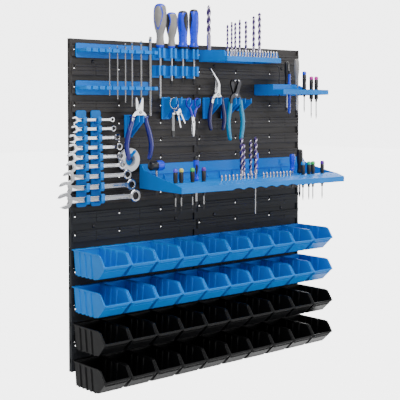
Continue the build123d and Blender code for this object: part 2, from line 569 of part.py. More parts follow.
def fob_strap():
    """Leather fob on a small swivel eye under the ring."""
    low = RING_Z - RING_R
    eye = Pos(RING_X, RING_Y, low - 0.9) * Rot(Y=90) * Torus(3.0, 0.8)
    x = RING_X - 3
    return eye + block(RING_X - 4, RING_X + 2, RING_Y - 1.5, RING_Y + 1.5, low - 12, low - 4.2) + block(
        x - 4.5, x + 3.5, RING_Y - 1.3, RING_Y + 1.3, low - 70, low - 12)


def ring_keys():
    """Two slim keys whose eyes share the ring, fanned to the right."""
    keys = []
    for angle, y, dx, dz in ((-66, RING_Y - 1.5, 13, -47), (-42, RING_Y + 1.5, 25, -40)):
        a = math.radians(angle)
        out = RING_R + 0.9
        ex, ez = RING_X + out * math.cos(a), RING_Z + out * math.sin(a)
        eye = Pos(ex, RING_Y, ez) * Rot(Y=-angle) * Rot(X=0) * Torus(3.0, 0.8)
        reach = math.hypot(dx, dz)
        ux, uz = dx / reach, dz / reach
        head = strap([(ex + 6.5 * math.cos(a), ez + 6.5 * math.sin(a), 3.9),
                      (ex + ux * 17, ez + uz * 17, 2.4), (ex + dx, ez + dz, 1.9)], y - 1.1, y + 1.1)
        keys.append(eye + head)
    return keys


# ---- bins ---------------------------------------------------------------------------------------
def bin_shape():
    """Stacking bin with its rim's back edge at the origin: open top, cut-away front, hook behind."""
    front = -BIN_RIM_LEN
    outer = [(0, 0), (front, 0), (-BIN_LIP_LEN, -BIN_LIP_DROP), (-BIN_FLOOR_LEN, -BIN_H), (0, -BIN_H)]
    w = BIN_WALL
    slope = math.hypot(BIN_LIP_LEN - BIN_FLOOR_LEN, BIN_H - BIN_LIP_DROP)
    shift = w * slope / (BIN_H - BIN_LIP_DROP)    # horizontal shift that keeps the front wall w thick
    inner = [(-w, 1), (front, 1), (-BIN_LIP_LEN + shift, -BIN_LIP_DROP),
             (-BIN_FLOOR_LEN + shift + 0.9, -BIN_H + w), (-w, -BIN_H + w)]
    half, low = BIN_W / 2, BIN_W / 2 - BIN_TAPER
    body_half = half - BIN_RIM / 2                # the walls stand inside the rim
    hull = along_y([(-body_half, 0), (body_half, 0), (low, -BIN_H), (-low, -BIN_H)], -BIN_LIP_LEN - 5, 5)
    room = along_y([(-body_half + w, 2), (body_half - w, 2), (low - w, -BIN_H - 1), (-low + w, -BIN_H - 1)],
                   -BIN_LIP_LEN - 5, 5)
    void = along_x(inner + [], -half, half) & room
    shell = (along_x(outer, -half, half) & hull) - void
    rim_line = [(0, 0), (front, 0), (-BIN_LIP_LEN, -BIN_LIP_DROP), (-BIN_LIP_LEN + 2.5, -BIN_LIP_DROP - 3),
                (front - 0.5, -BIN_RIM), (0, -BIN_RIM)]
    rim = along_x(rim_line, -half, half) - room
    nose = along_x([(-BIN_LIP_LEN, -BIN_LIP_DROP), (-BIN_LIP_LEN + 3.6, -BIN_LIP_DROP),
                    (-BIN_LIP_LEN + 4.6, -BIN_LIP_DROP - 3.4), (-BIN_LIP_LEN + 2.5, -BIN_LIP_DROP - 3)],
                   -half, half)
    back_rim = block(-half, half, -w, 0, -BIN_RIM, 0)
    catch = along_x([(0.1 - w, 0.6), (0.1 - w, -1.4), (8.8, -1.4), (8.8, -6.2), (11.1, -6.2), (11.1, 0.6)],
                    -half + 12, half - 12)
    feet = [block(x - 2, x + 2, -0.5, 5.6, -56, -50) for x in (-24, 24)]
    return shell + rim + nose + back_rim + catch + feet


def bin_place(row, k):
    """Where the rim's back edge of a bin sits."""
    x = -PANEL_W + (k + 0.5) * BIN_PITCH
    return Location((x, BIN_BACK, band_top(FIRST_BIN_ROW + 2 * row) + 1.7))


def make_bins():
    shape = bin_shape()
    for k in range(BINS_ACROSS):
        save(f"bin_blue_{k + 1:02d}", bin_place(0, k) * shape)
    for row, name in ((1, "bins_blue_row_2"), (2, "bins_black_row_3"), (3, "bins_black_row_4")):
        save(name, *[bin_place(row, k) * shape for k in range(BINS_ACROSS)])


# ---- write every node ---------------------------------------------------------------------------
make_panels()
save("hex_rail_upper", hex_rail(0))
save("hex_rail_lower", hex_rail(2))
save("hex_keys", *[hex_key(*key) for key in KEYS])
clip_places = [CLIP_X + k * CLIP_PITCH for k in range(len(DRIVERS))]
save("driver_clips", *[driver_clip(x, row) for row in (0, 1) for x in clip_places])
for k in range(len(DRIVERS)):
    save(f"screwdriver_{k + 1}", *screwdriver(k))
save("wrench_rack_left", wrench_rack(RACKS[0]))
save("wrench_rack_right", wrench_rack(RACKS[1]))
save("wrenches", *[wrench(i) for i in range(len(WRENCHES))])
for name, size in BRACKETS.items():
    save(name, bracket(*size, nose=8.0 if name == "bracket_scissors" else 14.0))
save("bracket_spare", spare_bracket())
save("drill_shelf", drill_shelf())
save("small_shelf", small_shelf())
save("tool_tray", tray())
make_shelf_tools()
make_tray_tools()
make_pliers()
save("scissors_left", *scissors_half(-1))
save("scissors_right", *scissors_half(1))
save("tape_hook", tape_hook())
save("tape_roll", tape_roll())
save("key_ring", key_ring())
save("fob_strap", fob_strap())
save("ring_keys", *ring_keys())
make_bins()
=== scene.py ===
"""Looks of the louvred tool wall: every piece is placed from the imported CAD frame, in metres."""
import json
import math

import bmesh
import bpy
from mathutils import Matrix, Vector


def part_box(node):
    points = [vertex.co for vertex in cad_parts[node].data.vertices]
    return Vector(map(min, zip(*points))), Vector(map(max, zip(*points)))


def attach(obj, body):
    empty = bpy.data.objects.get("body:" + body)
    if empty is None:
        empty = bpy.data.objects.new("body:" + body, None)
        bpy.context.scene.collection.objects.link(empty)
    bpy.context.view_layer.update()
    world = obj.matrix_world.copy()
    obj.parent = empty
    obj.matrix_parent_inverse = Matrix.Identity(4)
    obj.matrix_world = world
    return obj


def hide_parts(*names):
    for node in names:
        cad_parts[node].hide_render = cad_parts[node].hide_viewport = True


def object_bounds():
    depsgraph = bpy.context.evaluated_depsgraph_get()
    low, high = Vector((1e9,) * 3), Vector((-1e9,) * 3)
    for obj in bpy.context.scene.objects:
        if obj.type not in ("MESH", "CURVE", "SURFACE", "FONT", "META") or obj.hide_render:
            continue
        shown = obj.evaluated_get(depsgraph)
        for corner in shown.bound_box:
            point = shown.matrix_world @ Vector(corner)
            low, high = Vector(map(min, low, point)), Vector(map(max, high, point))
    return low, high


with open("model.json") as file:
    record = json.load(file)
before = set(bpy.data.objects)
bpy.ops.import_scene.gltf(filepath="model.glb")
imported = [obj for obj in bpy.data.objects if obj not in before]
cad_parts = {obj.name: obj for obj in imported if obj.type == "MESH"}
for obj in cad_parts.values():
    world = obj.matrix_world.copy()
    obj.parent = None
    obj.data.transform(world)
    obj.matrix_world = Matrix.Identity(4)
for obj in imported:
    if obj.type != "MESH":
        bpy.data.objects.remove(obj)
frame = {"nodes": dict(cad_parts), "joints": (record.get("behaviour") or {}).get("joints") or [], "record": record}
cad_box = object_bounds()
NODES = frame["nodes"]
JOINTS = {j["name"]: j for j in frame["joints"]}
ROOT = "wall"
MM = 0.001
TURN = 2 * math.pi
ALONG_Y = Vector((0, 1, 0))


# ---- materials ----------------------------------------------------------------------------------
def linear(r, g, b):
    """Display values from 0 to 255 as linear light."""
    def one(value):
        value /= 255
        return value / 12.92 if value <= 0.04045 else ((value + 0.055) / 1.055) ** 2.4
    return one(r), one(g), one(b), 1.0


class Nodes:
    """A short way to add and join shader nodes."""

    def __init__(self, name):
        self.material = bpy.data.materials.new(name)
        self.material.use_nodes = True
        self.tree = self.material.node_tree
        self.shader = self.tree.nodes["Principled BSDF"]
        self.place = self.add("ShaderNodeTexCoord").outputs["Object"]

    def add(self, kind, inputs=(), **settings):
        node = self.tree.nodes.new(kind)
        for key, value in settings.items():
            setattr(node, key, value)
        for key, value in dict(inputs).items():
            if isinstance(value, bpy.types.NodeSocket):
                self.tree.links.new(value, node.inputs[key])
            else:
                node.inputs[key].default_value = value
        return node

    def noise(self, scale, detail=3.0, stretch=(1, 1, 1), roughness=0.55):
        spread = self.add("ShaderNodeMapping", {"Vector": self.place, "Scale": stretch})
        made = self.add("ShaderNodeTexNoise", {"Vector": spread.outputs[0], "Scale": scale,
                                               "Detail": detail, "Roughness": roughness})
        return made.outputs["Fac"]

    def ramp(self, value, low, high, a=0.0, b=1.0):
        """Maps value from low..high to a..b, clamped."""
        made = self.add("ShaderNodeMapRange", {"Value": value, "From Min": low, "From Max": high,
                                               "To Min": a, "To Max": b})
        return made.outputs["Result"]

    def math(self, operation, a, b):
        return self.add("ShaderNodeMath", {0: a, 1: b}, operation=operation).outputs[0]

    def mix(self, factor, a, b):
        made = self.add("ShaderNodeMix", {"Factor": factor}, data_type="RGBA")
        for socket, value in ((made.inputs[6], a), (made.inputs[7], b)):
            if isinstance(value, bpy.types.NodeSocket):
                self.tree.links.new(value, socket)
            else:
                socket.default_value = value
        return made.outputs[2]

    def edges(self, radius):
        """1 along sharp edges, 0 on flats: where a painted highlight is laid along the edges."""
        rounded = self.add("ShaderNodeBevel", {"Radius": radius}, samples=4)
        flat = self.add("ShaderNodeNewGeometry").outputs["Normal"]
        match = self.add("ShaderNodeVectorMath", {0: rounded.outputs[0], 1: flat}, operation="DOT_PRODUCT")
        return self.ramp(match.outputs["Value"], 0.995, 0.86)

    def bump(self, height, strength, distance, normal=None):
        inputs = {"Height": height, "Strength": strength, "Distance": distance}
        if normal is not None:
            inputs["Normal"] = normal
        return self.add("ShaderNodeBump", inputs).outputs["Normal"]

    def finish(self, color, roughness, normal=None, **values):
        for key, value in (("Base Color", color), ("Roughness", roughness)):
            self.tree.links.new(value, self.shader.inputs[key])
        if normal is not None:
            self.tree.links.new(normal, self.shader.inputs["Normal"])
        for key, value in values.items():
            self.shader.inputs[key.replace("_", " ")].default_value = value
        return self.material


def shade(color, factor):
    return tuple(c * factor for c in color[:3]) + (1.0,)


def moulded(name, color, rough=0.36, grain=1500.0, edge_highlight=0.35, dust=0.05, streak=(1, 1, 1)):
    """Injection-moulded plastic: cloudy tone, fine spark-eroded grain, a painted highlight along the edges, a
    little dust.
    """
    n = Nodes(name)
    cloud = n.noise(9.0, 4.0, streak)
    fine = n.noise(grain, 2.0)
    scuff = n.noise(60.0, 5.0, (0.25, 1, 1))
    tone = n.mix(n.ramp(cloud, 0.3, 0.7), shade(color, 0.86), shade(color, 1.10))
    # painted edge highlight: every edge made paler, broken up by the scuff noise
    edge = n.math("MULTIPLY", n.edges(0.0007), n.ramp(scuff, 0.35, 0.6, 0.3, 1.0))
    edge_highlight_tone = tuple(c * 1.5 + 0.05 for c in color[:3]) + (1.0,)
    tone = n.mix(n.math("MULTIPLY", edge, edge_highlight), tone, edge_highlight_tone)
    tone = n.mix(n.ramp(scuff, 0.62, 0.78, 0.0, dust), tone, (0.55, 0.54, 0.52, 1))
    roughness = n.math("ADD", n.ramp(scuff, 0.3, 0.75, rough - 0.07, rough + 0.10),
                       n.ramp(cloud, 0.3, 0.7, -0.03, 0.03))
    normal = n.bump(fine, 0.12, 0.0002)
    normal = n.bump(scuff, 0.10, 0.0004, normal)
    return n.finish(tone, roughness, normal, Specular_IOR_Level=0.22)


def steel(name, color, rough=0.18, brush=(1, 1, 1), stain=0.12, grooves=0.06):
    """Plated or ground steel: fine directional scratches, faint stains, duller patches from handling."""
    n = Nodes(name)
    lines = n.noise(900.0, 2.0, brush)
    patch = n.noise(45.0, 4.0)
    tone = n.mix(n.ramp(patch, 0.35, 0.7, 0.0, stain), color, shade(color, 0.55))
    tone = n.mix(n.ramp(lines, 0.35, 0.65, 0.0, 0.10), tone, shade(color, 1.15))
    roughness = n.math("ADD", n.ramp(patch, 0.3, 0.7, rough - 0.05, rough + 0.08),
                       n.ramp(lines, 0.3, 0.7, -0.04, 0.04))
    return n.finish(tone, roughness, n.bump(lines, grooves, 0.0001), Metallic=1.0)


def rubbery(name, color, rough=0.42, coat=0.25):
    """Dipped or over-moulded grip: soft gloss, orange-peel skin, small scuffs."""
    n = Nodes(name)
    peel = n.noise(420.0, 2.0)
    scuff = n.noise(70.0, 5.0)
    tone = n.mix(n.ramp(scuff, 0.35, 0.7), shade(color, 0.88), shade(color, 1.12))
    tone = n.mix(n.ramp(scuff, 0.66, 0.80, 0.0, 0.10), tone, (0.5, 0.5, 0.52, 1))
    roughness = n.ramp(scuff, 0.3, 0.75, rough - 0.08, rough + 0.12)
    return n.finish(tone, roughness, n.bump(peel, 0.10, 0.0004), Coat_Weight=coat, Coat_Roughness=0.2)


def wound(name, color):
    """The side of a tape roll: hundreds of fine turns, some a little darker."""
    n = Nodes(name)
    split = n.add("ShaderNodeSeparateXYZ", {"Vector": n.place})
    radius = n.math("SQRT", n.math("ADD", n.math("POWER", split.outputs["X"], 2.0),
                                   n.math("POWER", split.outputs["Z"], 2.0)), 0.0)
    turns = n.math("SINE", n.math("MULTIPLY", radius, 9000.0), 0.0)
    bands = n.add("ShaderNodeTexNoise", {"W": n.math("MULTIPLY", radius, 700.0), "Scale": 1.0, "Detail": 3.0},
                  noise_dimensions="1D").outputs["Fac"]
    tone = n.mix(n.ramp(bands, 0.35, 0.65), shade(color, 0.86), color)
    return n.finish(tone, n.ramp(bands, 0.3, 0.7, 0.28, 0.45), n.bump(turns, 0.15, 0.00003), Coat_Weight=0.2)


def woven(name, color):
    """Webbing or grained leather of the fob."""
    n = Nodes(name)
    cells = n.add("ShaderNodeTexVoronoi", {"Vector": n.place, "Scale": 1400.0}).outputs["Distance"]
    cloud = n.noise(160.0, 4.0)
    tone = n.mix(n.ramp(cloud, 0.3, 0.7), shade(color, 0.8), shade(color, 1.15))
    return n.finish(tone, n.ramp(cells, 0.0, 0.6, 0.5, 0.75), n.bump(cells, 0.5, 0.0003), Sheen_Weight=0.2)


def toward_backdrop(tree, way):
    """0 in the room, rising to 1 where way points at the lit backdrop."""
    facing = tree.nodes.new("ShaderNodeVectorMath")
    facing.operation = "DOT_PRODUCT"
    facing.inputs[1].default_value = BACKDROP_WAY
    tree.links.new(way, facing.inputs[0])
    blend = tree.nodes.new("ShaderNodeMapRange")
    blend.interpolation_type = "SMOOTHSTEP"
    for key, value in (("From Min", 0.50), ("From Max", 0.90)):
        blend.inputs[key].default_value = value
    tree.links.new(facing.outputs["Value"], blend.inputs["Value"])
    return blend.outputs["Result"]


def floor_paper(name, color):
    """Pale paper, lit from behind where it runs up to the backdrop."""
    n = Nodes(name)
    cloud = n.noise(1.2, 2.0)
    flat = n.add("ShaderNodeVectorMath", {0: n.place, 1: (1, 1, 0)}, operation="MULTIPLY").outputs[0]
    way = n.add("ShaderNodeVectorMath", {0: flat}, operation="NORMALIZE").outputs[0]
    far = n.ramp(n.add("ShaderNodeVectorMath", {0: flat}, operation="LENGTH").outputs["Value"], 1.2, 2.6)
    glow = n.math("MULTIPLY", n.math("MULTIPLY", toward_backdrop(n.tree, way), far), FLOOR_GLOW)
    n.shader.inputs["Emission Color"].default_value = (1, 1, 1, 1)
    n.tree.links.new(glow, n.shader.inputs["Emission Strength"])
    return n.finish(n.mix(cloud, color, shade(color, 0.99)), n.ramp(cloud, 0.0, 1.0, 0.85, 0.95))


BACKDROP_WAY = (0.656, 0.755, 0.0)
ROOM_LEVEL, BACKDROP_LEVEL, FLOOR_GLOW = 0.52, 4.6, 4.0
# each plastic: colour, roughness, strength of its painted edge highlight, then dust
HOLDER = moulded("holder_blue", (0.0, 0.215, 0.72, 1), 0.40, edge_highlight=0.20, dust=0.01)
BIN_BLUE = moulded("bin_blue", (0.0, 0.225, 0.74, 1), 0.38, edge_highlight=0.34, dust=0.01)
BIN_BLACK = moulded("bin_black", (0.0050, 0.0052, 0.0058, 1), 0.34, edge_highlight=0.22, dust=0.008)
# panels: a stronger painted edge highlight, a little dust and a streaked tone
PANEL_EDGE_HIGHLIGHT_AND_DUST = {"edge_highlight": 0.50, "dust": 0.04, "streak": (0.35, 1, 2.0)}
PANEL_UPPER = moulded("panel_upper", (0.042, 0.038, 0.036, 1), 0.38, **PANEL_EDGE_HIGHLIGHT_AND_DUST)
PANEL_LOWER = moulded("panel_lower", (0.018, 0.020, 0.024, 1), 0.36, **PANEL_EDGE_HIGHLIGHT_AND_DUST)
CHROME = steel("chrome", (0.60, 0.61, 0.635, 1), 0.13, (0.02, 1, 0.3), 0.25, 0.006)
BRIGHT = steel("bright_steel", (0.60, 0.60, 0.61, 1), 0.20, (1, 1, 0.05), 0.20, 0.03)
DARK_STEEL = steel("dark_steel", (0.06, 0.06, 0.065, 1), 0.32, (1, 1, 0.3), 0.3)
KEY_STEEL = steel("key_steel", (0.56, 0.55, 0.54, 1), 0.24, (1, 1, 0.05), 0.25)
FLUTE_BRIGHT = steel("flute_bright", (0.62, 0.56, 0.68, 1), 0.20, (1, 1, 0.3), 0.1)
FLUTE_VIOLET = steel("flute_violet", (0.100, 0.065, 0.200, 1), 0.28, (1, 1, 0.3), 0.2)
GREY_GRIP = rubbery("grey_grip", (0.300, 0.285, 0.265, 1), 0.45)
BLUE_GRIP = rubbery("blue_grip", (0.006, 0.045, 0.80, 1), 0.30)
BLACK_GRIP = rubbery("black_grip", (0.009, 0.009, 0.010, 1), 0.38)
ULTRAMARINE = rubbery("ultramarine_grip", (0.002, 0.003, 0.19, 1), 0.16, 0.8)
NAVY = rubbery("navy_grip", (0.005, 0.004, 0.085, 1), 0.20, 0.6)
CYAN = rubbery("cyan_grip", (0.0, 0.270, 0.50, 1), 0.22, 0.6)
VIOLET_LOOP = rubbery("violet_loop", (0.030, 0.030, 0.52, 1), 0.25, 0.5)
GRIPS = {"combination_pliers": (ULTRAMARINE, "grip_ultramarine"), "bent_nose_pliers": (NAVY, "grip_navy"),
         "end_cutters": (CYAN, "grip_cyan")}
TAPE = wound("tape_white", linear(250, 252, 253))
TAPE_CORE = woven("tape_core", linear(168, 176, 182))
STRAP = woven("strap_grey", linear(150, 150, 150))
CAPS = {name: rubbery(f"cap_{name}", (*color, 1), 0.25, 0.5) for name, color in {
    "blue": (0.015, 0.06, 0.72), "sky": (0.01, 0.26, 0.70), "pink": (0.66, 0.02, 0.42),
    "violet": (0.09, 0.07, 0.76), "purple": (0.13, 0.012, 0.36), "yellow": (0.76, 0.66, 0.10),
    "green": (0.03, 0.56, 0.10), "mint": (0.02, 0.50, 0.24)}.items()}


# ---- mesh building ------------------------------------------------------------------------------
class Shape:
    """Vertices in metres, faces and a material number for each face."""

    def __init__(self):
        self.verts, self.faces, self.marks = [], [], []

    def rings(self, rings, closed=True, caps=True, mark=0):
        """Skins a list of equal rings; mark is a number or a function of (ring, place)."""
        start, count = len(self.verts), len(rings[0])
        for ring in rings:
            self.verts += [Vector(p) for p in ring]
        last = count if closed else count - 1
        for i in range(len(rings) - 1):
            for k in range(last):
                a, b = start + i * count + k, start + i * count + (k + 1) % count
                self.faces.append((a, b, b + count, a + count))
                self.marks.append(mark(i, k) if callable(mark) else mark)
        if caps:
            for i in (0, len(rings) - 1):
                self.faces.append(tuple(start + i * count + k for k in range(count)))
                self.marks.append(mark(i, 0) if callable(mark) else mark)
        return self

    def prism(self, outline, axis, low, high):
        """A flat outline given in the two other axes, pushed along axis from low to high, in millimetres."""
        def place(p, depth):
            point = [v * MM for v in p]
            point.insert(axis, depth * MM)
            return point
        return self.rings([[place(p, low) for p in outline], [place(p, high) for p in outline]])


def spline(points, steps):
    """A smooth run through the points, which may have any number of values each."""
    last = len(points) - 1
    out = []
    for i in range(last):
        p = [points[min(max(i + k - 1, 0), last)] for k in range(4)]
        for step in range(steps):
            t = step / steps
            out.append(tuple(
                0.5 * (2 * b + (c - a) * t + (2 * a - 5 * b + 4 * c - d) * t * t
                       + (3 * b - a - 3 * c + d) * t ** 3) for a, b, c, d in zip(*p)))
    return out + [tuple(points[-1])]


def mirrored(points):
    """A run of (a, b) points on the far side of b = 0, then the same run back on the near side."""
    return [(a, -b) for a, b in points] + [(a, b) for a, b in reversed(points)]


def lathe(shape, centre, profile, axis=2, segments=32, form=None, mark=0):
    """Turns (radius, height) in millimetres about an axis; form(angle, height) scales the radius."""
    centre = Vector([v * MM for v in centre])
    rings = []
    for radius, height in profile:
        ring = []
        for k in range(segments):
            angle = TURN * k / segments
            r = radius * (form(angle, height) if form else 1.0)
            point = [r * math.cos(angle) * MM, r * math.sin(angle) * MM]
            point.insert(axis, height * MM)
            ring.append(centre + Vector(point))
        rings.append(ring)
    return shape.rings(rings, mark=mark)


def hoop(centre, section, segments):
    """Turns a closed section about a line along y; section(angle) gives (radius, depth) in millimetres."""
    x, y, z = centre
    rings = []
    for k in range(segments + 1):
        a = TURN * (k % segments) / segments
        rings.append([((x + r * math.cos(a)) * MM, (y + b) * MM, (z + r * math.sin(a)) * MM)
                      for r, b in section(a)])
    return Shape().rings(rings, caps=False)


def wire(shape, stations, wide, deep, sides, closed=True):
    """A round wire through stations of (centre, out, across), in millimetres."""
    rings = []
    for centre, out, across in stations:
        rings.append([(centre + out * (wide * math.cos(TURN * m / sides))
                       + across * (deep * math.sin(TURN * m / sides))) * MM for m in range(sides)])
    return shape.rings(rings, caps=not closed)


def even(points):
    """A path for sweep with the same thickness all along."""
    return [(point, 1.0) for point in points]


def sweep(shape, path, axis, width, depth, segments, square=2.0):
    """A bar along a flat path of (point, scale), in millimetres, with its depth along axis."""
    axis = Vector(axis)
    path = [([v * MM for v in point], scale) for point, scale in path]
    width, depth = width * MM, depth * MM
    rings = []
    for i, (point, scale) in enumerate(path):
        before, after = path[max(i - 1, 0)][0], path[min(i + 1, len(path) - 1)][0]
        side = axis.cross((Vector(after) - Vector(before)).normalized())
        ring = []
        for k in range(segments):
            angle = TURN * (k + 0.5) / segments
            c, s = math.cos(angle), math.sin(angle)
            across = math.copysign(abs(c) ** (2 / square), c)
            along = math.copysign(abs(s) ** (2 / square), s)
            ring.append(Vector(point) + side * (across * width * scale) + axis * (along * depth * scale))
        rings.append(ring)
    return shape.rings(rings)


def as_mesh(name, shape, materials, sharp):
    mesh = bpy.data.meshes.new(name)
    mesh.from_pydata([tuple(v) for v in shape.verts], [], shape.faces)
    mesh.polygons.foreach_set("material_index", shape.marks)
    work = bmesh.new()
    work.from_mesh(mesh)
    bmesh.ops.remove_doubles(work, verts=work.verts, dist=1e-6)
    bmesh.ops.recalc_face_normals(work, faces=work.faces)
    work.to_mesh(mesh)
    work.free()
    for material in materials:
        mesh.materials.append(material)
    mesh.shade_smooth()
    mesh.set_sharp_from_angle(angle=math.radians(sharp))
    return mesh


def piece(name, shape, body, materials, slot, replaces=(), bevel=0.0, at=(0, 0, 0), thick=0.0, sharp=38.0):
    """Makes the mesh object, places it and ties it to its CAD body."""
    mesh = as_mesh(name, shape, materials, sharp) if isinstance(shape, Shape) else shape
    made = bpy.data.objects.new(name, mesh)
    bpy.context.scene.collection.objects.link(made)
    made.location = at
    if thick:
        skin = made.modifiers.new("skin", "SOLIDIFY")
        skin.thickness = thick
        skin.offset = -1.0
    if bevel:
        round_edges(made, bevel)
    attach(made, body)
    if replaces:
        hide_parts(*replaces)
    return made


def round_edges(thing, width):
    bevel = thing.modifiers.new("edges", "BEVEL")
    bevel.width = width
    bevel.segments = 2
    bevel.limit_method = "ANGLE"
    bevel.angle_limit = math.radians(34)
    bevel.use_clamp_overlap = True
    bevel.harden_normals = True


def solids(node):
    """The box of each separate solid in a CAD node, as (low, high), from left to right."""
    mesh = NODES[node].data
    keys = [tuple(round(c * 1e5) for c in v.co) for v in mesh.vertices]
    parent = {}

    def find(key):
        while parent.setdefault(key, key) != key:
            parent[key] = parent[parent[key]]
            key = parent[key]
        return key

    for polygon in mesh.polygons:
        first = find(keys[polygon.vertices[0]])
        for index in polygon.vertices[1:]:
            parent[find(keys[index])] = first
    groups = {}
    for index, key in enumerate(keys):
        groups.setdefault(find(key), []).append(mesh.vertices[index].co)
    boxes = []
    for points in groups.values():
        low = Vector(min(p[i] for p in points) for i in range(3))
        high = Vector(max(p[i] for p in points) for i in range(3))
        boxes.append((low, high))
    return sorted(boxes, key=lambda b: (round(b[0].x + b[1].x, 4), b[0].z))


def middle(box):
    return (box[0] + box[1]) / 2


def measure(box):
    """Middle x, middle y, foot, top and half the width of an upright box, in millimetres."""
    low, high = box
    centre = middle(box)
    return centre.x / MM, centre.y / MM, low.z / MM, high.z / MM, (high.x - low.x) / 2 / MM


# ---- CAD nodes that keep their shape --------------------------------------------------------------
def keep(node, material, width):
    """A CAD node shown as it is: welded and given small moulded radii, with its own material."""
    thing = NODES[node]
    thing.data.materials.clear()
    thing.data.materials.append(material)
    weld = thing.modifiers.new("weld", "WELD")
    weld.merge_threshold = 0.00002
    round_edges(thing, width)


for side in ("left", "right"):
    keep(f"panel_upper_{side}", PANEL_UPPER, 0.0004)
    keep(f"panel_lower_{side}", PANEL_LOWER, 0.0004)
for node in NODES:
    if node.startswith(("bracket_", "hex_rail_", "wrench_rack_")) or node in (
            "driver_clips", "tape_hook", "drill_shelf", "small_shelf", "tool_tray"):
        keep(node, HOLDER, 0.0006)


TRAY_FLOOR = 44.0
RIB_THICK, WEB_PITCH = 1.8, 46.6
TRAY_RIBS = ((-140, -60, -32, 5), (-20, 60, -32, 5), (190, 262, -32, 5),       # left, right, y and height
             (-130, -40, -84, 4), (180, 260, -84, 4))
WEB = ((-16.9, 0), (-16.9, 20.5), (-21.5, 14), (-27.0, 0))                     # y and height over the floor


def tray_ribs():
    """Low upright ribs behind the slots of the tray's floor, a ledge along its back and webs between them."""
    ribs = Shape()
    left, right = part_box("tool_tray")[0].x / MM + 4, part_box("tool_tray")[1].x / MM - 4

    def bar(x0, x1, y0, y1, z0, z1):
        ribs.prism([(x0, y0), (x1, y0), (x1, y1), (x0, y1)], 2, z0, z1)

    for x0, x1, y, height in TRAY_RIBS:
        bar(x0, x1, y, y + RIB_THICK, TRAY_FLOOR, TRAY_FLOOR + height)
    bar(left, right, -19.6, -16.8, TRAY_FLOOR + 20.0, TRAY_FLOOR + 22.4)
    x = left + 23.0
    while x < right - 12:
        ribs.prism([(y, TRAY_FLOOR + height) for y, height in WEB], 0, x, x + RIB_THICK)
        x += WEB_PITCH
    bar(300, 316, -19.4, -16.8, TRAY_FLOOR + 26.0, TRAY_FLOOR + 40.0)
    bar(303, 313, -20.6, -19.0, TRAY_FLOOR + 28.4, TRAY_FLOOR + 37.6)
    piece("tool_tray_ribs", ribs, ROOT, (HOLDER,), "holder_blue", bevel=0.0004)


tray_ribs()


# ---- bins ---------------------------------------------------------------------------------------
BIN_DEPTH, BIN_HEIGHT = 122.0, 59.0               # back plane to lip, rim to floor
RIM_LINE = [(0, 0), (96, 0), (103, -1.2), (108, -5.2), (122, -26)]
FLOOR_LINE = [(0, -59), (87, -59), (92.5, -57.6), (122, -29)]
TOP_HALF, FOOT_HALF, WALL = 36.4, 31.9, 1.8
RIB_AT, RIB_WIDE, RIB_DEPTH, RIB_RAMP = (19, 42, 65), 9.0, 2.5, 1.2
CATCH_REACH = 11.1                                # how far the hook catches stand behind the back plane


def height_on(line, depth):
    for (d0, z0), (d1, z1) in zip(line, line[1:]):
        if depth <= d1:
            return z0 + (z1 - z0) * (depth - d0) / (d1 - d0)
    return line[-1][1]


def rib(depth, level):
    """The upright grooves pressed into each side wall, which show as ribs inside."""
    push = 0.0
    for start in RIB_AT:
        push = max(push, min(1.0, (depth - start) / RIB_RAMP, (start + RIB_WIDE - depth) / RIB_RAMP))
    fade = min(1.0, max(0.0, (1 - level) / 0.10)) * min(1.0, max(0.0, level / 0.06))
    return push * RIB_DEPTH * fade


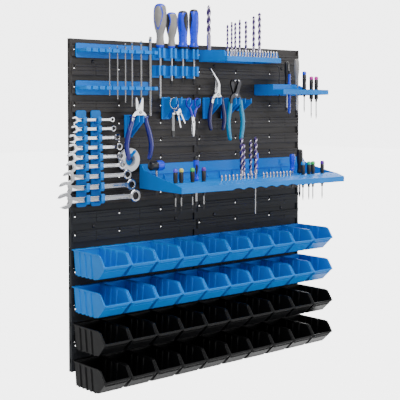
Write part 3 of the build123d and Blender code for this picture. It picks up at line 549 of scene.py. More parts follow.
def bin_mesh_shape(width):
    """One bin with the back edge of its rim at the origin, open at the top."""
    half = width / 2 / MM
    ramps = (0, RIB_RAMP, RIB_WIDE - RIB_RAMP, RIB_WIDE)
    stations = [0, 6, 12, 18] + [start + ramp for start in RIB_AT for ramp in ramps]
    stations += [86, 90, 92.5, 96, 100, 103, 106, 108, 113, 118, 122]
    levels = [0.0, 0.04, 0.08, 0.25, 0.5, 0.75, 0.88, 0.94, 1.0]
    rows = []
    for depth in stations:
        top, foot = height_on(RIM_LINE, depth) - 1.2, height_on(FLOOR_LINE, depth)
        top = max(top, foot + 0.8)
        left = []
        for level in reversed(levels):
            z = foot + (top - foot) * level
            x = FOOT_HALF + (TOP_HALF - FOOT_HALF) * (z + BIN_HEIGHT) / BIN_HEIGHT
            left.append((x - rib(depth, level), z))
        floor = [(left[-1][0] * f, foot) for f in (0.94, 0.5, 0.0, -0.5, -0.94)]
        ring = [(-x, z) for x, z in left] + [(-x, z) for x, z in floor] + [(x, z) for x, z in reversed(left)]
        rows.append([(x * MM, -depth * MM, z * MM) for x, z in ring])
    shell = Shape()
    shell.rings(rows, closed=False, caps=False)
    back = rows[0]
    shell.rings([[back[i], back[-1 - i]] for i in range(len(levels))], closed=False, caps=False)
    trim = Shape()
    rim = half - 1.6
    line = spline([(d, z) for d, z in RIM_LINE[1:]], 4)
    side = [(0.8, -1.5)] + [(d, z - 1.5) for d, z in line]
    for sign in (-1, 1):
        sweep(trim, even((sign * rim, -d, z) for d, z in side), (1, 0, 0), 1.55, 1.6, 12, square=4.0)
    ends, frame_half = half - 0.4, 30
    for reach, y, z, width, depth, segments, square in (
            (ends, 1.2 - BIN_DEPTH, RIM_LINE[-1][1] - 1.5, 1.7, 1.9, 12, 4.0),     # front lip
            (ends, -1.4, -1.5, 1.5, 1.4, 12, 4.0),                                 # back of the rim
            (frame_half, -115.2, -37.2, 0.9, 1.0, 8, 2.0)):                        # foot of the label's frame
        sweep(trim, even((x, y, z) for x in (-reach, 0, reach)), (0, 1, 0), width, depth, segments, square)
    for x in (-frame_half, frame_half):
        sweep(trim, even(((x, -115.2, -37.2), (x, -120.6, -30.5))), (1, 0, 0), 0.8, 0.9, 8)
    ledge = [(-0.5, -1.6), (8.6, -1.6), (8.6, 0.0), (-0.5, 0.0)]
    trim.prism(ledge, 0, 0.9 - half, half - 0.9)
    catch = [(8.4, -1.6), (8.8, -6.2), (CATCH_REACH, -6.2), (CATCH_REACH, 0.0), (8.4, 0.0)]
    for low, high in ((-26, -12), (12, 26)):
        trim.prism(catch, 0, low, high)
    for x in (-24, 24):
        trim.prism([(-0.6, -50), (5.2, -50.6), (5.2, -55.4), (-0.6, -56)], 0, x - 1.5, x + 1.5)
    for sign in (-1, 1):
        for d in (12, 28, 44, 60, 76):
            tooth = [(-d - 4, -58), (-d + 4, -58), (-d + 3, -60.6), (-d - 3, -60.6)]
            trim.prism(tooth, 0, *sorted((sign * (FOOT_HALF - 2.2), sign * FOOT_HALF)))
    return shell, trim


def make_bins():
    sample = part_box("bin_blue_01")
    parts = bin_mesh_shape(sample[1].x - sample[0].x)
    made = {slot: [as_mesh(slot, part, (material,), 30) for part in parts]
            for material, slot in ((BIN_BLUE, "bin_blue"), (BIN_BLACK, "bin_black"))}
    rows = [(f"bin_blue_{k:02d}", "bin_blue") for k in range(1, 11)]
    rows += [("bins_blue_row_2", "bin_blue"), ("bins_black_row_3", "bin_black"),
             ("bins_black_row_4", "bin_black")]
    for node, slot in rows:
        for count, (low, high) in enumerate(solids(node)):
            at = ((low.x + high.x) / 2, high.y - CATCH_REACH * MM, high.z - 0.6 * MM)
            name = node if count == 0 else f"{node}_{count + 1:02d}"
            shell_mesh, trim_mesh = made[slot]
            piece(f"{name}_tub", shell_mesh, node, (), slot, (node,) if count == 0 else (), at=at,
                  thick=WALL * MM)
            piece(f"{name}_rim", trim_mesh, node, (), slot, at=at)


make_bins()


# ---- big screwdrivers ---------------------------------------------------------------------------
def blade_shaft(shape, x, y, top, tip, radius):
    """Round shaft that flattens to a flat, blackened tip (material 1); millimetres."""
    profile = [(radius, top), (radius, tip + 14), (radius * 0.95, tip + 9), (radius * 0.75, tip + 4),
               (radius * 0.35, tip)]
    rings = []
    for r, z in profile:
        flat = 1.0 if z > tip + 10 else max(0.22, (z - tip) / 10)
        rings.append([Vector((x + r * math.cos(TURN * k / 16) * (1.0 if flat == 1 else 1.15),
                              y + r * math.sin(TURN * k / 16) * flat, z)) * MM for k in range(16)])
    return shape.rings(rings, mark=lambda ring, place: 1 if ring > 0 else 0)


HANDLE_SHAPES = {                                 # share of the greatest radius against share of the length
    "soft": [(0.0, 0.48), (0.03, 0.60), (0.10, 0.64), (0.22, 0.56), (0.32, 0.60), (0.45, 0.84), (0.60, 0.98),
             (0.78, 1.0), (0.90, 0.92), (0.97, 0.70), (1.0, 0.30)],
    "full": [(0.0, 0.62), (0.03, 0.86), (0.09, 0.90), (0.16, 0.80), (0.30, 0.78), (0.45, 0.90), (0.62, 1.0),
             (0.80, 0.98), (0.92, 0.90), (0.98, 0.66), (1.0, 0.30)],
}


def handle_profile(form, radius, foot, top, steps):
    shares = HANDLE_SHAPES[form]
    return spline([(share * radius, foot + along * (top - foot)) for along, share in shares], steps)


# how much thicker than the CAD's cylinders the photo's handles and drills look
HANDLE_SWELL, SMALL_SWELL, DRILL_SWELL, BIT_SWELL = 1.09, 1.12, 1.18, 1.12


def screwdriver(index, form, facing, body_material, cap_material, stripe_material):
    """A big screwdriver; facing is the angle of the oval inlay in degrees."""
    node = f"screwdriver_{index}"
    shaft_box, handle_box = sorted(solids(node), key=lambda b: b[0].z)
    x, y, foot, top, radius = measure(handle_box)
    profile = handle_profile(form, radius * HANDLE_SWELL, foot, top, 6)

    def lobes(angle, z):
        """Six shallow finger flats in the thick part."""
        along = (z - foot) / (top - foot)
        depth = 0.035 * math.sin(math.pi * min(1, max(0, (along - 0.30) / 0.65)))
        return 1 - depth * (0.5 + 0.5 * math.cos(6 * angle)) ** 2

    segments = 72

    def mark(ring, place):
        along = (profile[min(ring, len(profile) - 1)][1] - foot) / (top - foot)
        angle = ((place / segments - facing / 360) * 2 + 0.5) % 1.0
        if along > 0.93 or along < 0.05:
            return 1
        narrow = 0.55 + 0.45 * min(1.0, max(0.0, (along - 0.40) / 0.35))
        oval = ((angle - 0.5) / (0.23 * narrow)) ** 2 + ((along - 0.68) / 0.25) ** 2
        edge = ((angle - 0.5) / (0.29 * narrow)) ** 2 + ((along - 0.69) / 0.30) ** 2
        if oval < 1:
            return 2
        return 1 if edge < 1 and form == "soft" else 0

    handle = Shape()
    lathe(handle, (x, y, 0), profile, segments=segments, form=lobes, mark=mark)
    piece(f"{node}_handle", handle, node, (body_material, cap_material, stripe_material), "handle_grey",
          (node,))
    shaft = Shape()
    lathe(shaft, (x, y, 0), [(4.6, foot - 0.2), (4.8, foot + 1), (4.8, foot + 4)], segments=24)
    _, _, tip, _, shaft_radius = measure(shaft_box)
    blade_shaft(shaft, x, y, foot + 2, tip, shaft_radius)
    piece(f"{node}_shaft", shaft, node, (BRIGHT, DARK_STEEL), "chrome")


screwdriver(1, "soft", 206, GREY_GRIP, BLUE_GRIP, GREY_GRIP)
screwdriver(2, "soft", 172, GREY_GRIP, BLUE_GRIP, BLACK_GRIP)
screwdriver(3, "full", 276, BLUE_GRIP, BLACK_GRIP, BLACK_GRIP)
screwdriver(4, "full", 168, BLUE_GRIP, BLACK_GRIP, BLACK_GRIP)


# ---- hex keys -----------------------------------------------------------------------------------
def hex_keys():
    for count, (low, high) in enumerate(solids("hex_keys")):
        flats = ((high.y - low.y) / MM - 8.0) / 3.08
        # the long arm sits at the back right of the solid's box
        x, y = high.x / MM - flats / 2, high.y / MM - flats / 2
        foot, top = low.z / MM, high.z / MM - flats / 2
        reach = 10 + 2.6 * flats
        bend = 1.6 * flats
        lean = Vector((-0.6, -0.8, 0))
        path = [Vector((x, y, foot)), Vector((x, y, top - bend))]
        corner = Vector((x, y, top - bend)) + lean * bend
        for k in range(1, 9):
            a = math.pi / 2 * k / 8
            path.append(corner - lean * (bend * math.cos(a)) + Vector((0, 0, bend * math.sin(a))))
        path.append(Vector((x, y, top)) + lean * reach)
        side = lean.cross(Vector((0, 0, 1)))
        rings = []
        for i, point in enumerate(path):
            along = (path[min(i + 1, len(path) - 1)] - path[max(i - 1, 0)]).normalized()
            across = along.cross(side)
            rings.append([(point + (side * math.cos(TURN * k / 6) + across * math.sin(TURN * k / 6))
                           * (flats / 2 * 1.12)) * MM for k in range(6)])
        key = Shape().rings(rings)
        piece(f"hex_key_{count + 1}", key, ROOT, (KEY_STEEL,), "tool_steel",
              ("hex_keys",) if count == 0 else (), bevel=0.00025)


hex_keys()


# ---- wrenches -----------------------------------------------------------------------------------
JAW_TILT = math.radians(15)
MOUTH = 0.52                                      # half the jaw's opening as a share of the head's radius


def wrench(count, low, high):
    """Open jaw on the left, ring on the right, forged shaft with a sunk middle."""
    y, z = (low.y + high.y) / 2 / MM, (low.z + high.z) / 2 / MM
    head = (high.z - low.z) / 2 / MM
    ring = 0.80 * head
    x_open, x_ring = low.x / MM + head, high.x / MM - ring
    thick = half = 0.30 * head + 1.6
    tool = Shape()
    # open jaw: two prongs round a hexagon seat, turned downwards
    mouth = head * MOUTH
    open_angle = math.asin(MOUTH)
    outline = [(-head * 0.62, -mouth), (head * 0.18, -mouth), (head * 0.46, -mouth * 0.45),
               (head * 0.46, mouth * 0.45), (head * 0.18, mouth), (-head * 0.70, mouth)]
    steps = 26
    for k in range(steps + 1):
        a = math.pi - open_angle * 1.15 - (TURN - 2.3 * open_angle) * k / steps
        swell = 1.0 + 0.10 * min(0.0, math.cos(a)) ** 2
        outline.append((head * 0.98 * swell * math.cos(a), head * 0.98 * math.sin(a)))
    across, up = math.cos(JAW_TILT), math.sin(JAW_TILT)
    turned = [(x_open + px * across - pz * up, z + px * up + pz * across) for px, pz in outline]
    tool.prism(turned, 1, y - thick / 2, y + thick / 2)
    # shaft: an I section that thickens into both ends
    rings = []
    x0, x1 = x_open + head * 0.62, x_ring - ring * 0.70
    for k in range(15):
        t = k / 14
        x = x0 + (x1 - x0) * t
        flare = 1 + 0.30 * (1 - min(1, t * 7)) ** 2 + 0.16 * (1 - min(1, (1 - t) * 7)) ** 2
        h = half * (1 - 0.20 * t) * flare
        d = thick / 2 * (0.80 + 0.15 * (flare - 1))
        sunk = d * (0.62 if 2 <= k <= 12 else 1.0)
        top = [(h, d * 0.5), (h * 0.86, d), (h * 0.58, d), (h * 0.46, sunk)]
        section = mirrored(top + [(-a, b) for a, b in reversed(top)])
        rings.append([(x * MM, (y + b) * MM, (z + a) * MM) for a, b in section])
    tool.rings(rings)
    piece(f"wrench_{count + 1}", tool, ROOT, (CHROME,), "chrome", ("wrenches",) if count == 0 else (),
          bevel=0.0005)
    inner, wide = head * 0.47, thick / 2

    def twelve_points(angle):
        seat = inner * (1 - 0.07 * (0.5 + 0.5 * math.cos(12 * angle)))
        return mirrored([(seat, wide * 0.8), (inner * 1.08, wide), (ring * 0.88, wide), (ring, wide * 0.5)])

    piece(f"wrench_{count + 1}_ring", hoop((x_ring, y, z), twelve_points, 48), ROOT, (CHROME,), "chrome")


for number, (low, high) in enumerate(sorted(solids("wrenches"), key=lambda b: -b[1].z)):
    wrench(number, low, high)


# ---- drills, bits and rods ----------------------------------------------------------------------
def twist_drill(name, box, replaces, fluted):
    """Shank below, two ground flutes wound round the upper part, and a point."""
    x, y, foot, top, half = measure(box)
    radius = half * DRILL_SWELL
    start = top - (top - foot) * fluted
    pitch = radius * 7.2
    segments = 28
    profile = [(radius * 0.96, foot), (radius, foot + 0.6), (radius, start - 1), (radius * 0.97, start)]
    steps = max(24, int((top - start) / pitch * 14))
    profile += [(radius, start + (top - radius - start) * k / steps) for k in range(1, steps + 1)]
    profile += [(radius * 0.5, top - radius * 0.45), (radius * 0.08, top)]

    def flute_at(angle, z):
        if z < start:
            return 0.0
        turn = (angle - TURN * (z - start) / pitch) % math.pi
        return max(0.0, math.sin(turn) - 0.42) / 0.58 * min(1.0, (z - start) / 6)

    def form(angle, z):
        return 1 - 0.42 * flute_at(angle, z)

    def mark(ring, place):
        return 1 if flute_at(TURN * (place + 0.5) / segments, profile[ring][1]) > 0.06 else 0

    drill = Shape()
    lathe(drill, (x, y, 0), profile, segments=segments, form=form, mark=mark)
    piece(name, drill, ROOT, (FLUTE_BRIGHT, FLUTE_VIOLET), "drill_steel", replaces, sharp=50)


def is_rod(box):
    """Whether a solid among the drills is the thin rod, which has no flutes."""
    return box[1].x - box[0].x <= 4 * MM


def drills(node, first_fluted):
    """first_fluted is the fluted share of the leftmost drill; the others have the same, longer flutes."""
    for count, box in enumerate(b for b in solids(node) if not is_rod(b)):
        twist_drill(f"{node}_{count + 1}", box, () if count else (node,), 0.74 if count else first_fluted)
    for box in solids(node):
        if is_rod(box):
            thin = Shape()
            x, y, foot, top, r = measure(box)
            lathe(thin, (x, y, 0), [(r * 0.6, foot), (r, foot + 1), (r, top)], segments=20)
            piece(f"{node}_rod", thin, ROOT, (BRIGHT,), "drill_steel")


drills("shelf_drills", 0.55)
drills("tray_drills", 0.74)


def bits(node):
    """Hexagonal insert bits, all from one mesh: drive end below, waist and cross tip above."""
    boxes = solids(node)
    low, high = boxes[0]
    height, radius = (high.z - low.z) / MM, (high.y - low.y) / 2 / MM * BIT_SWELL
    profile = [(0.86, 0), (1.0, 0.8), (1.0, 10.2), (0.8, 11), (0.62, 12.5), (0.62, height - 8),
               (0.80, height - 6.5), (0.78, height - 3), (0.22, height)]

    def form(angle, z):
        """Hexagonal at the drive end, four-winged at the tip and round between them."""
        if z <= 10.5:
            return math.cos(math.pi / 6) / math.cos((angle + math.pi / 6) % (math.pi / 3) - math.pi / 6)
        return 1 - 0.38 * (0.5 + 0.5 * math.cos(4 * angle)) ** 3 if z > height - 7 else 1.0

    shape = Shape()
    lathe(shape, (0, 0, 0), [(share * radius, z) for share, z in profile], segments=24, form=form)
    mesh = None
    for count, box in enumerate(boxes):
        at = Vector((middle(box).x, middle(box).y, box[0].z))
        made = piece(f"{node}_{count + 1}", mesh or shape, ROOT, (BRIGHT,), "tool_steel",
                     (node,) if count == 0 else (), at=at, sharp=30)
        mesh = made.data


bits("shelf_bits")
bits("tray_bits")


# ---- small drivers ------------------------------------------------------------------------------
def precision_drivers(node, colours):
    for count, (box, colour) in enumerate(zip(solids(node), colours)):
        x, y, tip, top, half = measure(box)
        radius = half * SMALL_SWELL
        profile = [(1.6, top - 70), (2.8, top - 69), (3.0, top - 66), (2.6, top - 64)]
        profile += [(radius * share, top - down) for share, down in (
            (0.92, 61.5), (1, 60), (1, 36), (0.90, 34), (0.90, 31), (1, 29), (1, 10.5), (0.86, 9.6),
            (0.80, 9))]

        def knurl(angle, z):
            grooved = top - 60 < z < top - 10
            return 1 - (0.07 * (0.5 + 0.5 * math.cos(14 * angle)) if grooved else 0.0)

        handle = Shape()
        lathe(handle, (x, y, 0), profile, segments=56, form=knurl)
        piece(f"{node}_{count + 1}_handle", handle, ROOT, (BLACK_GRIP,), "handle_silver",
              (node,) if count == 0 else ())
        cap = Shape()
        dome = [(radius * share, top - down) for share, down in (
            (0.72, 9.2), (1.0, 8.6), (1.02, 6), (0.96, 3), (0.74, 1.0), (0.38, 0.1))]
        lathe(cap, (x, y, 0), spline(dome + [(0.2, top)], 4))
        piece(f"{node}_{count + 1}_cap", cap, ROOT, (CAPS[colour],), "handle_silver")
        shaft = Shape()
        blade_shaft(shaft, x, y, top - 69, tip, 1.6)
        piece(f"{node}_{count + 1}_shaft", shaft, ROOT, (BRIGHT, DARK_STEEL), "chrome")


precision_drivers("shelf_precision_drivers", ("blue", "pink", "pink"))
precision_drivers("tray_precision_drivers",
                  ("violet", "yellow", "green", "purple", "sky", "mint", "green", "purple"))


def plain_drivers(node, looks):
    """Handle and shaft pairs; looks gives each handle's form, body and cap material from left to right."""
    boxes = solids(node)
    widest_shaft, segments = 7 * MM, 48
    handles = [b for b in boxes if b[1].x - b[0].x > widest_shaft]
    shafts = [b for b in boxes if b[1].x - b[0].x <= widest_shaft]
    for count, (box, (form, body, cap)) in enumerate(zip(handles, looks)):
        x, y, foot, top, radius = measure(box)
        own = min(shafts, key=lambda s: (middle(s) - middle(box)).xy.length)
        profile = handle_profile(form, radius, foot, top, 5)

        def flats(angle, z):
            along = (z - foot) / (top - foot)
            return 1 - 0.07 * math.sin(math.pi * min(1, max(0, (along - 0.15) / 0.8))) * (
                0.5 + 0.5 * math.cos(6 * angle)) ** 2

        def mark(ring, place):
            along = (profile[min(ring, len(profile) - 1)][1] - foot) / (top - foot)
            inset = (((place / segments - 0.66) * 2 + 0.5) % 1.0 - 0.5) / 0.16
            return 1 if along > 0.80 or inset ** 2 + ((along - 0.45) / 0.20) ** 2 < 1 else 0

        handle = Shape()
        lathe(handle, (x, y, 0), profile, segments=segments, form=flats, mark=mark)
        piece(f"{node}_{count + 1}_handle", handle, ROOT, (body, cap), "handle_black",
              (node,) if count == 0 else ())
        shaft = Shape()
        _, _, tip, _, shaft_radius = measure(own)
        blade_shaft(shaft, x, y, foot + 2, tip, shaft_radius)
        piece(f"{node}_{count + 1}_shaft", shaft, ROOT, (BRIGHT, DARK_STEEL), "chrome")


plain_drivers("shelf_drivers", (("full", BLACK_GRIP, BLACK_GRIP), ("soft", GREY_GRIP, GREY_GRIP)))
plain_drivers("tray_drivers", (("full", BLUE_GRIP, BLACK_GRIP), ("full", BLUE_GRIP, BLUE_GRIP),
                               ("full", BLUE_GRIP, BLUE_GRIP), ("full", BLACK_GRIP, BLACK_GRIP)))


def scribers():
    pick_box, scriber_box = solids("scribers")
    x, y, tip, top, _ = measure(scriber_box)
    handle = Shape()
    profile = [(1.4, tip + 12), (3.4, tip + 15), (4.0, tip + 22), (4.0, tip + 40), (3.3, tip + 44),
               (4.0, tip + 50), (4.0, top - 34), (3.2, top - 30), (3.6, top - 10)]
    lathe(handle, (x, y, 0), profile, segments=36,
          form=lambda a, z: 1 - 0.06 * (0.5 + 0.5 * math.cos(10 * a)))
    piece("scriber_handle", handle, ROOT, (CAPS["blue"],), "handle_blue", ("scribers",))
    ends = Shape()
    lathe(ends, (x, y, 0), [(3.0, top - 11), (3.2, top - 9), (3.2, top - 3), (2.4, top - 0.6), (1.0, top)])
    lathe(ends, (x, y, 0), [(0.25, tip), (0.8, tip + 5), (1.5, tip + 13)], segments=16)
    piece("scriber_ends", ends, ROOT, (DARK_STEEL,), "chrome")
    _, y, foot, crown, _ = measure(pick_box)
    x = pick_box[1].x / MM - 1.9
    hook = [(x, foot), (x, crown - 34), (x - 0.3, crown - 16), (x - 3.5, crown - 6), (x - 9, crown - 1.6),
            (x - 14, crown - 1.2)]
    taper_from = 10
    path = [((a, y, b), 1 - 0.05 * max(0, i - taper_from)) for i, (a, b) in enumerate(spline(hook, 4))]
    pick = Shape()
    sweep(pick, path, (0, 1, 0), 1.4, 1.4, 14)
    lathe(pick, (x, y, 0), [(1.4, foot + 40), (2.0, foot + 42), (2.0, foot + 60), (1.4, foot + 62)],
          segments=18)
    piece("hook_pick", pick, ROOT, (DARK_STEEL,), "chrome")


scribers()


def t_handle():
    shaft_box, grip_box = sorted(solids("tray_t_handle"), key=lambda b: b[1].x - b[0].x)
    at = middle(grip_box) / MM
    _, _, foot, top, half = measure(grip_box)
    radius = (top - foot) / 2
    profile = [(radius * 0.35, -half), (radius * 0.80, -half + 1.2), (radius * 0.92, -half + 5),
               (radius * 0.90, -half * 0.25), (radius * 0.98, half * 0.05), (radius, half * 0.5),
               (radius * 0.93, half - 4), (radius * 0.70, half - 1), (radius * 0.30, half)]
    profile = spline(profile, 4)

    def lobes(angle, _):
        return 1 - 0.05 * (0.5 + 0.5 * math.cos(6 * angle)) ** 2

    def mark(ring, _):
        return 0 if profile[min(ring, len(profile) - 1)][1] < -half * 0.05 else 1

    grip = Shape()
    lathe(grip, at, profile, axis=0, segments=48, form=lobes, mark=mark)
    piece("t_handle_grip", grip, ROOT, (BLACK_GRIP, BLUE_GRIP), "handle_black", ("tray_t_handle",))
    shaft = Shape()
    x, y, tip, top, r = measure(shaft_box)
    blade_shaft(shaft, x, y, top + 1, tip, r)
    piece("t_handle_shaft", shaft, ROOT, (BRIGHT, DARK_STEEL), "chrome")


t_handle()


# ---- pliers, cutters and scissors ---------------------------------------------------------------
def band(shape, path, y_low, y_high):
    """A flat bar of changing width through (x, z, half width), in millimetres."""
    line = spline(path, 5)
    left, right = [], []
    for i, (x, z, r) in enumerate(line):
        ax, az, _ = line[max(i - 1, 0)]
        bx, bz, _ = line[min(i + 1, len(line) - 1)]
        length = math.hypot(bx - ax, bz - az)
        nx, nz = -(bz - az) / length, (bx - ax) / length
        left.append((x + nx * r, z + nz * r))
        right.append((x - nx * r, z - nz * r))
    return shape.prism(left + right[::-1], 1, y_low, y_high)


PLIERS = {                                        # jaw and handle lines from the pivot: (x, z, half width)
    "combination_pliers": {
        "moving": "right", "head": CHROME,
        "jaw": [(0, 0, 7.8), (2.8, 9, 6.2), (4.4, 17, 4.8), (6.2, 27, 3.4), (7.4, 35, 1.6)],
        "neck": [(0, 0, 8.2), (9, -2, 6.0), (14, -4, 4.8), (19.5, -10, 4.2), (22, -22, 3.6)],
        "grip": [(18.8, -8, 5.2), (21.5, -24, 5.6), (30, -48, 6.0), (36.5, -74, 6.0), (35, -95, 5.6),
                 (30.5, -110, 5.0)],
        "collar": (19.2, -10, 9.0)},
    "bent_nose_pliers": {
        "moving": "left", "head": BRIGHT,
        "jaw": [(0, 0, 7.0), (2.2, 14, 4.6), (2.2, 30, 3.2), (8, 46, 2.4), (24, 66, 1.1)],
        "neck": [(0, 0, 7.2), (8, -2, 4.9), (12.6, -5, 4.2), (17.6, -12, 3.8), (20, -22, 3.4)],
        "grip": [(15.6, -5, 4.9), (19.6, -26, 5.3), (24.4, -50, 5.6), (25, -70, 5.3), (21.3, -87, 4.8)],
        "collar": (16.6, -8, 8.2)},
    "end_cutters": {
        "moving": "right", "head": DARK_STEEL,
        "jaw": [(0, 0, 7.2), (3.6, 10, 5.4), (7.2, 21, 5.6), (10.4, 30, 5.0), (9.4, 39, 2.8)],
        "neck": [(0, 0, 7.6), (9, -2, 5.6), (14, -4, 4.8), (18.4, -13, 4.4), (19, -24, 3.8)],
        "grip": [(17.6, -12, 4.8), (20, -34, 5.9), (25.4, -64, 6.1), (24, -90, 5.8), (19.5, -114, 5.2)],
        "collar": None},
}


LAP_INNER, LAP_OUTER, BEND_Z = 0.15, 5.3, 40      # the halves' faces either side of the pivot's plane


def pliers(name, look):
    joint = JOINTS[f"{name}_pivot"]
    cx, y, cz = (v / MM for v in joint["pos_m"])
    for sign, side in ((-1, "left"), (1, "right")):
        node = f"{name}_{side}"
        body = node if side == look["moving"] else ROOT
        lap = sorted((y + sign * LAP_INNER, y + sign * LAP_OUTER))
        bent = name == "bent_nose_pliers"
        # past BEND_Z both bent jaws lean the same way
        jaw = [(cx - x + sign * 1.3 if bent and z > BEND_Z else cx - sign * x, cz + z, r)
               for x, z, r in look["jaw"]]
        neck = [(cx + sign * x, cz + z, r) for x, z, r in look["neck"]]
        metal = Shape()
        band(metal, jaw, *lap)
        band(metal, neck, lap[0] + 0.1, lap[1] - 0.1)
        piece(f"{node}_steel", metal, body, (look["head"],), "chrome", (node,), bevel=0.0008)
        if name == "end_cutters":
            edge = Shape()
            tip_x, tip_z, _ = jaw[-1]
            band(edge, [(tip_x + sign * 0.5, tip_z - 3, 1.6), (tip_x + sign * 6.0, tip_z - 0.5, 1.3)],
                 y - 6.5, y + 6.5)
            piece(f"{node}_edge", edge, body, (BRIGHT,), "chrome", bevel=0.0006)
        line = spline([(cx + sign * x, cz + z, r) for x, z, r in look["grip"]], 7)
        path = [(Vector((x, y, z)), r) for x, z, r in line]
        end, radius = path[-1]
        drop = (end - path[-3][0]).normalized()
        for k in (1, 2, 3, 4):                    # the grip's rounded end
            a = math.pi / 2 * k / 4.2
            path.append((end + drop * (radius * math.sin(a)), radius * math.cos(a)))
        path[0] = (path[0][0], path[0][1] * 0.82)
        sleeve = Shape()
        sweep(sleeve, path, (0, 1, 0), 1, 0.98, 24, square=2.4)
        if look["collar"]:
            x, z, r = look["collar"]
            a, b = Vector((cx + sign * x, y, cz + z)), Vector((cx + sign * (x + 1.2), y, cz + z - 5.0))
            rim = [(a, r * 0.86), (a * 0.75 + b * 0.25, r), ((a + b) / 2, r * 0.96), (b, r * 0.66)]
            sweep(sleeve, rim, (0, 1, 0), 1, 0.72, 24, square=2.2)
        material, slot = GRIPS[name]
        piece(f"{node}_grip", sleeve, body, (material,), slot, sharp=45)
    rivet = Shape()
    profile = mirrored([(0.4, 6.4), (3.4, 6.2), (4.4, 5.4), (4.6, 4.8)])
    lathe(rivet, (cx, y, cz), profile, axis=1, segments=36)
    piece(f"{name}_rivet", rivet, ROOT, (BRIGHT,), "chrome")


for name, look in PLIERS.items():
    pliers(name, look)


def scissors():
    joint = JOINTS["scissors_pivot"]
    cx, y, cz = (v / MM for v in joint["pos_m"])
    for sign, side in ((-1, "left"), (1, "right")):
        node = f"scissors_{side}"
        body = node if side == "right" else ROOT
        lap = sorted((y + sign * 0.1, y + sign * 1.9))
        low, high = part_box(node)
        tip_z, top = low.z / MM, high.z / MM
        blade = Shape()
        band(blade, [(cx - sign * 0.4, tip_z, 0.5), (cx - sign * 1.2, tip_z + 10, 2.6),
                     (cx - sign * 0.9, cz - 8, 4.0), (cx, cz, 4.8), (cx + sign * 2.6, cz + 12, 3.6),
                     (cx + sign * 4.4, cz + 18, 2.8)], *lap)
        piece(f"{node}_blade", blade, body, (CHROME,), "chrome", (node,), bevel=0.0004)
        loop_x = (low.x if sign < 0 else high.x) / MM - sign * 10.0
        loop_z = top - 13.0
        ring = Shape()
        stations = []
        for k in range(49):
            a = TURN * (k % 48) / 48
            wide, tall = 8.7 + 0.8 * math.sin(a), 11.6
            stations.append((Vector((loop_x + wide * math.cos(a), y, loop_z + tall * math.sin(a))),
                             Vector((math.cos(a), 0, math.sin(a))), ALONG_Y))
        wire(ring, stations, 1.45, 2.9, 12)
        stem = [(cx + sign * 3.4, cz + 12, 2.6), (cx + sign * 4.8, cz + 20, 3.4),
                (cx + sign * 7.6, cz + 28, 3.6), (loop_x - sign * 1.5, loop_z - 11, 3.0)]
        path = [((x, y, z), r) for x, z, r in spline(stem, 5)]
        sweep(ring, path, (0, 1, 0), 1, 0.9, 16, square=2.6)
        piece(f"{node}_loop", ring, body, (VIOLET_LOOP,), "loop_violet", sharp=50)
    pin = Shape()
    lathe(pin, (cx, y, cz), mirrored([(0.3, 2.7), (1.8, 2.6), (2.4, 2.1)]), axis=1, segments=24)
    piece("scissors_pin", pin, ROOT, (DARK_STEEL,), "chrome")


scissors()


# ---- tape roll and key ring ---------------------------------------------------------------------
TAPE_BORE = 13.5


def tape_roll():
    low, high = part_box("tape_roll")
    at = (low + high) / 2
    half, radius = (high.y - low.y) / 2 / MM, (high.x - low.x) / 2 / MM

    def tube(inner, outer, wide, soft):
        section = mirrored([(inner, wide - soft), (inner + soft, wide), (outer - soft, wide),
                            (outer, wide - soft)])
        return hoop((0, 0, 0), lambda angle: section, 96)

    piece("tape_roll_film", tube(TAPE_BORE + 2.0, radius, half, 0.5), "tape_roll", (TAPE,), "tape_white",
          ("tape_roll",), at=at, sharp=30)
    piece("tape_roll_core", tube(TAPE_BORE, TAPE_BORE + 2.1, half * 0.97, 0.3), "tape_roll", (TAPE_CORE,),
          "tape_white", at=at, sharp=30)


tape_roll()


KEY_ANGLES = (-66, -42)                           # where each key's eye hangs on the ring, in degrees
EYE = 3.0                                         # radius of the eyes of the fob and the keys


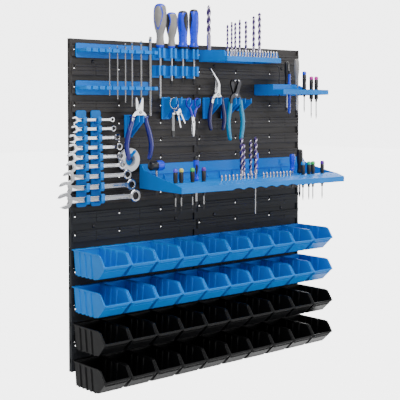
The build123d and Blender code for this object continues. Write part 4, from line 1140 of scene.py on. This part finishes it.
def key_ring():
    low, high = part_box("key_ring")
    at = (low + high) / 2 / MM
    radius = (high.x - low.x) / 2 / MM - 1.0
    coil = Shape()
    stations = []
    turns, steps = 1.9, 150
    for k in range(steps + 1):
        a = TURN * turns * k / steps + 0.6
        y = at.y - 0.62 + 1.24 * k / steps
        stations.append((Vector((at.x + radius * math.cos(a), y, at.z + radius * math.sin(a))),
                         Vector((math.cos(a), 0, math.sin(a))), ALONG_Y))
    wire(coil, stations, 0.75, 0.5, 10, closed=False)
    piece("key_ring_coil", coil, "key_ring", (CHROME,), "chrome", ("key_ring",), sharp=60)

    low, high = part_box("fob_strap")
    mid, top, foot, y = (low.x / MM + high.x / MM) / 2, high.z / MM, low.z / MM, at.y
    fitting = Shape()
    eye_z = top - 3.8
    turns_of_eye = [TURN * (k % 32) / 32 for k in range(33)]
    wire(fitting, [(Vector((at.x, y + EYE * math.cos(a), eye_z + EYE * math.sin(a))),
                    Vector((0, math.cos(a), math.sin(a))), Vector((1, 0, 0))) for a in turns_of_eye],
         0.8, 0.8, 8)
    lathe(fitting, (at.x, y, 0), [(1.0, eye_z - 3.0), (2.4, eye_z - 4), (2.6, eye_z - 8), (2.0, eye_z - 10)],
          segments=24)
    band(fitting, [(mid, eye_z - 9, 4.0), (mid, eye_z - 13, 4.3)], y - 1.9, y + 1.9)
    piece("fob_fitting", fitting, "key_ring", (CHROME,), "chrome", ("fob_strap",), bevel=0.0004)
    strap = Shape()
    mid -= 0.6
    band(strap, [(mid, eye_z - 12, 3.5), (mid, eye_z - 30, 3.8), (mid, foot + 14, 3.9)], y - 1.1, y + 1.1)
    piece("fob_strap_web", strap, "key_ring", (STRAP,), "strap_grey", bevel=0.0004)
    end = Shape()
    band(end, [(mid, foot + 16, 4.2), (mid, foot + 8, 4.5), (mid, foot + 2, 3.6), (mid, foot, 2.0)],
         y - 1.6, y + 1.6)
    piece("fob_strap_end", end, "key_ring", (BLACK_GRIP,), "strap_grey", bevel=0.0006)

    ring_keys = sorted(solids("ring_keys"), key=lambda b: b[0].x)
    for count, (key_low, key_high) in enumerate(ring_keys):
        angle = math.radians(KEY_ANGLES[count])
        out = radius + 0.9
        ex, ez = at.x + out * math.cos(angle), at.z + out * math.sin(angle)
        key = Shape()
        radial = Vector((math.cos(angle), 0, math.sin(angle)))
        tangent = Vector((-math.sin(angle), 0, math.cos(angle)))
        spokes = [radial * math.cos(a) + ALONG_Y * math.sin(a) for a in turns_of_eye]
        wire(key, [(Vector((ex, y, ez)) + spoke * EYE, spoke, tangent) for spoke in spokes], 0.75, 0.75, 8)
        tip = Vector((key_high.x / MM - 1.9, 0, key_low.z / MM + 1.9))
        start = Vector((ex, 0, ez)) + radial * 6.5
        run = tip - start
        layer = y + (-1.5, 1.5)[count]
        line = [(start.x + run.x * share, start.z + run.z * share, wide)
                for share, wide in ((0, 3.4), (0.12, 4.0), (0.26, 3.0), (0.34, 2.0))]
        band(key, line + [(tip.x, tip.z, 1.7)], layer - 0.9, layer + 0.9)
        piece(f"ring_key_{count + 1}", key, "key_ring", (CHROME,), "chrome",
              ("ring_keys",) if count == 0 else (), bevel=0.0003)


key_ring()


# ---- wall screws --------------------------------------------------------------------------------
SCREW_SEAT = -8.05                                # y of the panels' face under the screws' heads


def wall_screws():
    """A pan-head screw in each fixing hole, from the record's bolt patterns."""
    head = Shape()
    lathe(head, (0, 0, 0), [(0.3, -2.6), (2.6, -2.4), (4.0, -1.4), (4.3, 0.0), (2.2, 0.02), (2.2, 6.0)],
          axis=1)
    mesh = None
    for mount in frame["record"]["mounts"]:
        if mount["kind"] != "bolt_pattern":
            continue
        centre = Vector(mount["pos_m"])
        dx, dz = mount["dims"]["spacing_x_mm"] / 2 * MM, mount["dims"]["spacing_y_mm"] / 2 * MM
        for sx in (-1, 1):
            for sz in (-1, 1):
                at = Vector((centre.x + sx * dx, SCREW_SEAT * MM, centre.z + sz * dz))
                made = piece(f"{mount['name']}_{sx}_{sz}", mesh or head, ROOT, (DARK_STEEL,), "tool_steel",
                             at=at)
                mesh = made.data


wall_screws()


# ---- studio -------------------------------------------------------------------------------------
def light(name, place, target, size, power, color=(1, 1, 1)):
    data = bpy.data.lights.new(name, "AREA")
    data.shape = "RECTANGLE"
    data.size, data.size_y = size
    data.energy = power
    data.color = color
    lamp = bpy.data.objects.new(name, data)
    bpy.context.scene.collection.objects.link(lamp)
    lamp.location = place
    lamp.rotation_euler = (Vector(target) - Vector(place)).to_track_quat("-Z", "Y").to_euler()


floor_mesh = bpy.data.meshes.new("floor")
FLOOR_HALF, FLOOR_Z = 30.0, cad_box[0].z - 1.10
corners = [(x * FLOOR_HALF, y * FLOOR_HALF, FLOOR_Z) for x, y in ((-1, -1), (1, -1), (1, 1), (-1, 1))]
floor_mesh.from_pydata(corners, [], [(0, 1, 2, 3)])
floor_mesh.materials.append(floor_paper("floor_white", (0.86, 0.86, 0.86, 1)))
floor = bpy.data.objects.new("floor", floor_mesh)
bpy.context.scene.collection.objects.link(floor)

light("key", (-1.7, -2.3, 2.0), (0, 0, 0), (1.5, 1.2), 43)
light("fill", (1.9, -2.4, 0.5), (0, 0, -0.1), (1.8, 1.2), 20)
light("top", (0.1, -0.9, 2.2), (0, -0.1, 0), (2.2, 0.9), 40)


def backdrop_world():
    """White behind the wall, and a dimmer room in front of it for bright metal to reflect."""
    world = bpy.data.worlds.new("studio")
    bpy.context.scene.world = world
    world.use_nodes = True
    tree = world.node_tree
    way = tree.nodes.new("ShaderNodeTexCoord").outputs["Generated"]
    level = tree.nodes.new("ShaderNodeMapRange")
    for key, value in (("To Min", ROOM_LEVEL), ("To Max", BACKDROP_LEVEL)):
        level.inputs[key].default_value = value
    tree.links.new(toward_backdrop(tree, way), level.inputs["Value"])
    background = tree.nodes["Background"]
    background.inputs["Color"].default_value = (1, 1, 1, 1)
    tree.links.new(level.outputs["Result"], background.inputs["Strength"])


backdrop_world()

CAMERA_PLACE = (-1.6132, -1.8838, 0.2330)
CAMERA_TURN, CAMERA_DROP = 40.99, 2.27            # degrees right of square on, degrees below level
camera_data = bpy.data.cameras.new("camera")
camera_data.lens = 86.25
camera_data.sensor_width = 36.0
camera_data.shift_y = -0.14
camera_data.clip_end = 50.0
camera = bpy.data.objects.new("camera", camera_data)
bpy.context.scene.collection.objects.link(camera)
camera.location = CAMERA_PLACE
camera.rotation_euler = (math.radians(90 - CAMERA_DROP), 0, -math.radians(CAMERA_TURN))
bpy.context.scene.camera = camera
